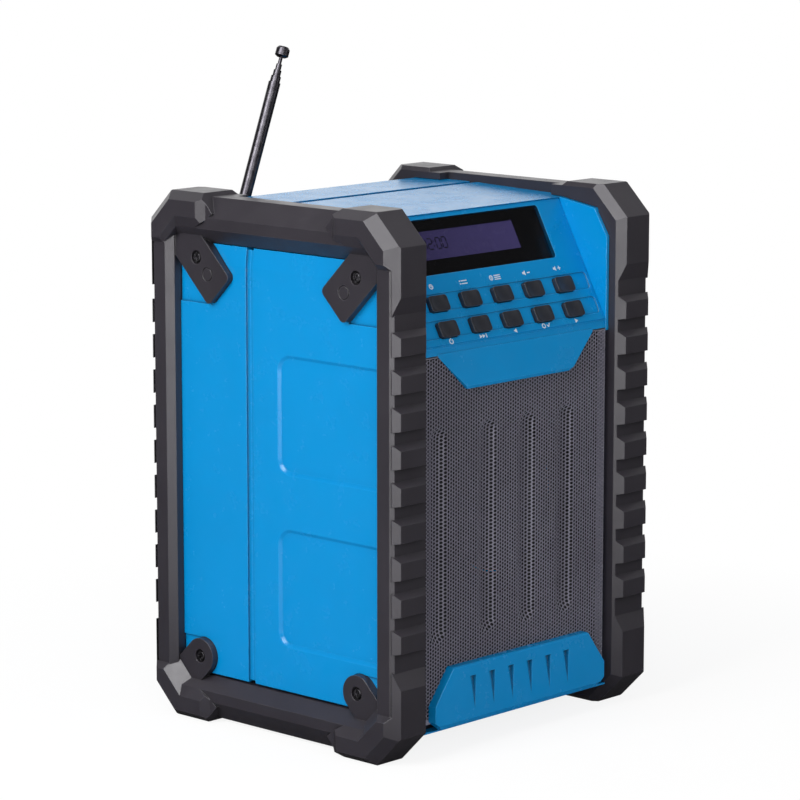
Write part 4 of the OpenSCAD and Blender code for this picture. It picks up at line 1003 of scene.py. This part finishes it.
def floor_paint():
    # Matt emulsion on board: it only darkens close to the radio, and further
    # out the camera sees the plain backdrop
    material, tree = new_material("matt_white_floor")
    tint = mottled(tree, 60, linear("#F6F6F7"), linear("#FBFBFC"), 4)
    paint = add(tree, "ShaderNodeBsdfDiffuse", {"Color": tint, "Roughness": 0.6})
    glow = add(tree, "ShaderNodeEmission", {"Color": linear("#FFFFFF"), "Strength": 1.0})
    camera, sharp = seen_rays(tree)
    place = object_place(tree)
    away = add(tree, "ShaderNodeVectorMath", (place,), operation="LENGTH").outputs["Value"]
    faded = add(tree, "ShaderNodeMapRange", (away, *SHADOW_FADES, FLOOR_GLOW, 1.0))
    share = add(tree, "ShaderNodeMath", (camera, faded), operation="MULTIPLY")
    shown = add(tree, "ShaderNodeMixShader", (share, paint, glow))

    # what mirrors see: a card in a sector of the floor, brighter far out
    way = add(tree, "ShaderNodeVectorMath", (place,), operation="NORMALIZE")
    ahead = add(tree, "ShaderNodeVectorMath", (way, FRONT), operation="DOT_PRODUCT").outputs["Value"]
    sector = add(tree, "ShaderNodeMapRange", (ahead, *CARD_FIELD))
    near = add(tree, "ShaderNodeMapRange", (away, *CARD_STARTS, FLOOR_MIRRORED, CARD_NEAR))
    far = add(tree, "ShaderNodeMapRange", (away, *CARD_BRIGHTENS, 0.0, CARD_FAR))
    lies = add(tree, "ShaderNodeMath", (near, far), operation="ADD")
    inside = add(tree, "ShaderNodeMath", (lies, sector), operation="MULTIPLY")
    bright = add(tree, "ShaderNodeMath", (inside, FLOOR_MIRRORED), operation="MAXIMUM")
    card = add(tree, "ShaderNodeEmission", {"Color": linear("#FFFFFF"), "Strength": bright})
    add(tree, "ShaderNodeOutputMaterial", (add(tree, "ShaderNodeMixShader", (sharp, shown, card)),))
    return material


def make_floor():
    """A white sweep that keeps the radio's soft shadow and fades into the backdrop"""
    mesh = bpy.data.meshes.new("studio_floor")
    shape = bmesh.new()
    corners = [(a * FLOOR_HALF, b * FLOOR_HALF) for a, b in ((-1, -1), (1, -1), (1, 1), (-1, 1))]
    shape.faces.new([shape.verts.new((x, y, CAD_BOX[0][2])) for x, y in corners])
    shape.to_mesh(mesh)
    shape.free()
    mesh.materials.append(floor_paint())
    floor = bpy.data.objects.new("studio_floor", mesh)
    bpy.context.scene.collection.objects.link(floor)


def make_lights():
    """Four soft boxes that all face the radio"""
    for name, place, side, watts in LIGHTS:
        data = bpy.data.lights.new(name, "AREA")
        data.shape = "RECTANGLE"
        data.size = data.size_y = side
        data.energy = watts
        lamp = bpy.data.objects.new(name, data)
        bpy.context.scene.collection.objects.link(lamp)
        lamp.visible_camera = False
        lamp.location = place
        lamp.rotation_euler = (LIGHTS_AIM - Vector(place)).to_track_quat("-Z", "Y").to_euler()


def make_world():
    """White to the camera, dimmer in mirrors and as light"""
    world = bpy.data.worlds.new("studio_world")
    bpy.context.scene.world = world
    world.use_nodes = True
    tree = world.node_tree
    tree.nodes.clear()
    camera, sharp = seen_rays(tree)
    ray = add(tree, "ShaderNodeTexCoord").outputs["Generated"]
    soft_fields = (
        (BEHIND, BEHIND_FIELD, BEHIND_MIRRORED),
        (ABOVE, ABOVE_FIELD, ABOVE_MIRRORED))
    shown_fields = []
    for way, field, peak in soft_fields:
        toward = add(tree, "ShaderNodeVectorMath", (ray, way), operation="DOT_PRODUCT").outputs["Value"]
        shown_fields.append(add(tree, "ShaderNodeMapRange", (toward, *field, WORLD_MIRRORED, peak)))
    mirrored = add(tree, "ShaderNodeMath", shown_fields, operation="MAXIMUM")
    unseen = add(tree, "ShaderNodeMix", {SHARE: sharp, LOW_NUMBER: WORLD_LIGHT, HIGH_NUMBER: mirrored})
    strength = add(tree, "ShaderNodeMix", {SHARE: camera, LOW_NUMBER: unseen, HIGH_NUMBER: WORLD_SEEN})
    shown = add(tree, "ShaderNodeBackground", {"Color": linear("#FFFFFF"), "Strength": strength})
    add(tree, "ShaderNodeOutputWorld", (shown,))


# ---------- panel and registration ----------

STEPS = (
    RADIO_OT_cabinet, RADIO_OT_guards, RADIO_OT_grille, RADIO_OT_loudspeaker, RADIO_OT_keys,
    RADIO_OT_display, RADIO_OT_boards, RADIO_OT_antenna, RADIO_OT_stage)


class RADIO_PT_panel(bpy.types.Panel):
    """Lists the radio's sizes, colours and steps in the sidebar"""

    bl_idname = "RADIO_PT_panel"
    bl_label = "Jobsite radio"
    bl_space_type = "VIEW_3D"
    bl_region_type = "UI"
    bl_category = "Radio"

    def draw(self, context):
        for group in (context.scene.radio_grille, context.scene.radio_colours):
            for name in group.__annotations__:
                self.layout.prop(group, name)
        for step in STEPS:
            self.layout.operator(step.bl_idname)


CLASSES = (GrilleSizes, FinishColours) + STEPS + (RADIO_PT_panel,)


def register():
    for kind in CLASSES:
        bpy.utils.register_class(kind)
    bpy.types.Scene.radio_grille = bpy.props.PointerProperty(type=GrilleSizes)
    bpy.types.Scene.radio_colours = bpy.props.PointerProperty(type=FinishColours)


def unregister():
    del bpy.types.Scene.radio_colours
    del bpy.types.Scene.radio_grille
    for kind in reversed(CLASSES):
        bpy.utils.unregister_class(kind)


def main():
    register()
    for step in STEPS:
        group, name = step.bl_idname.split(".")
        getattr(getattr(bpy.ops, group), name)()


if __name__ == "__main__":
    main()
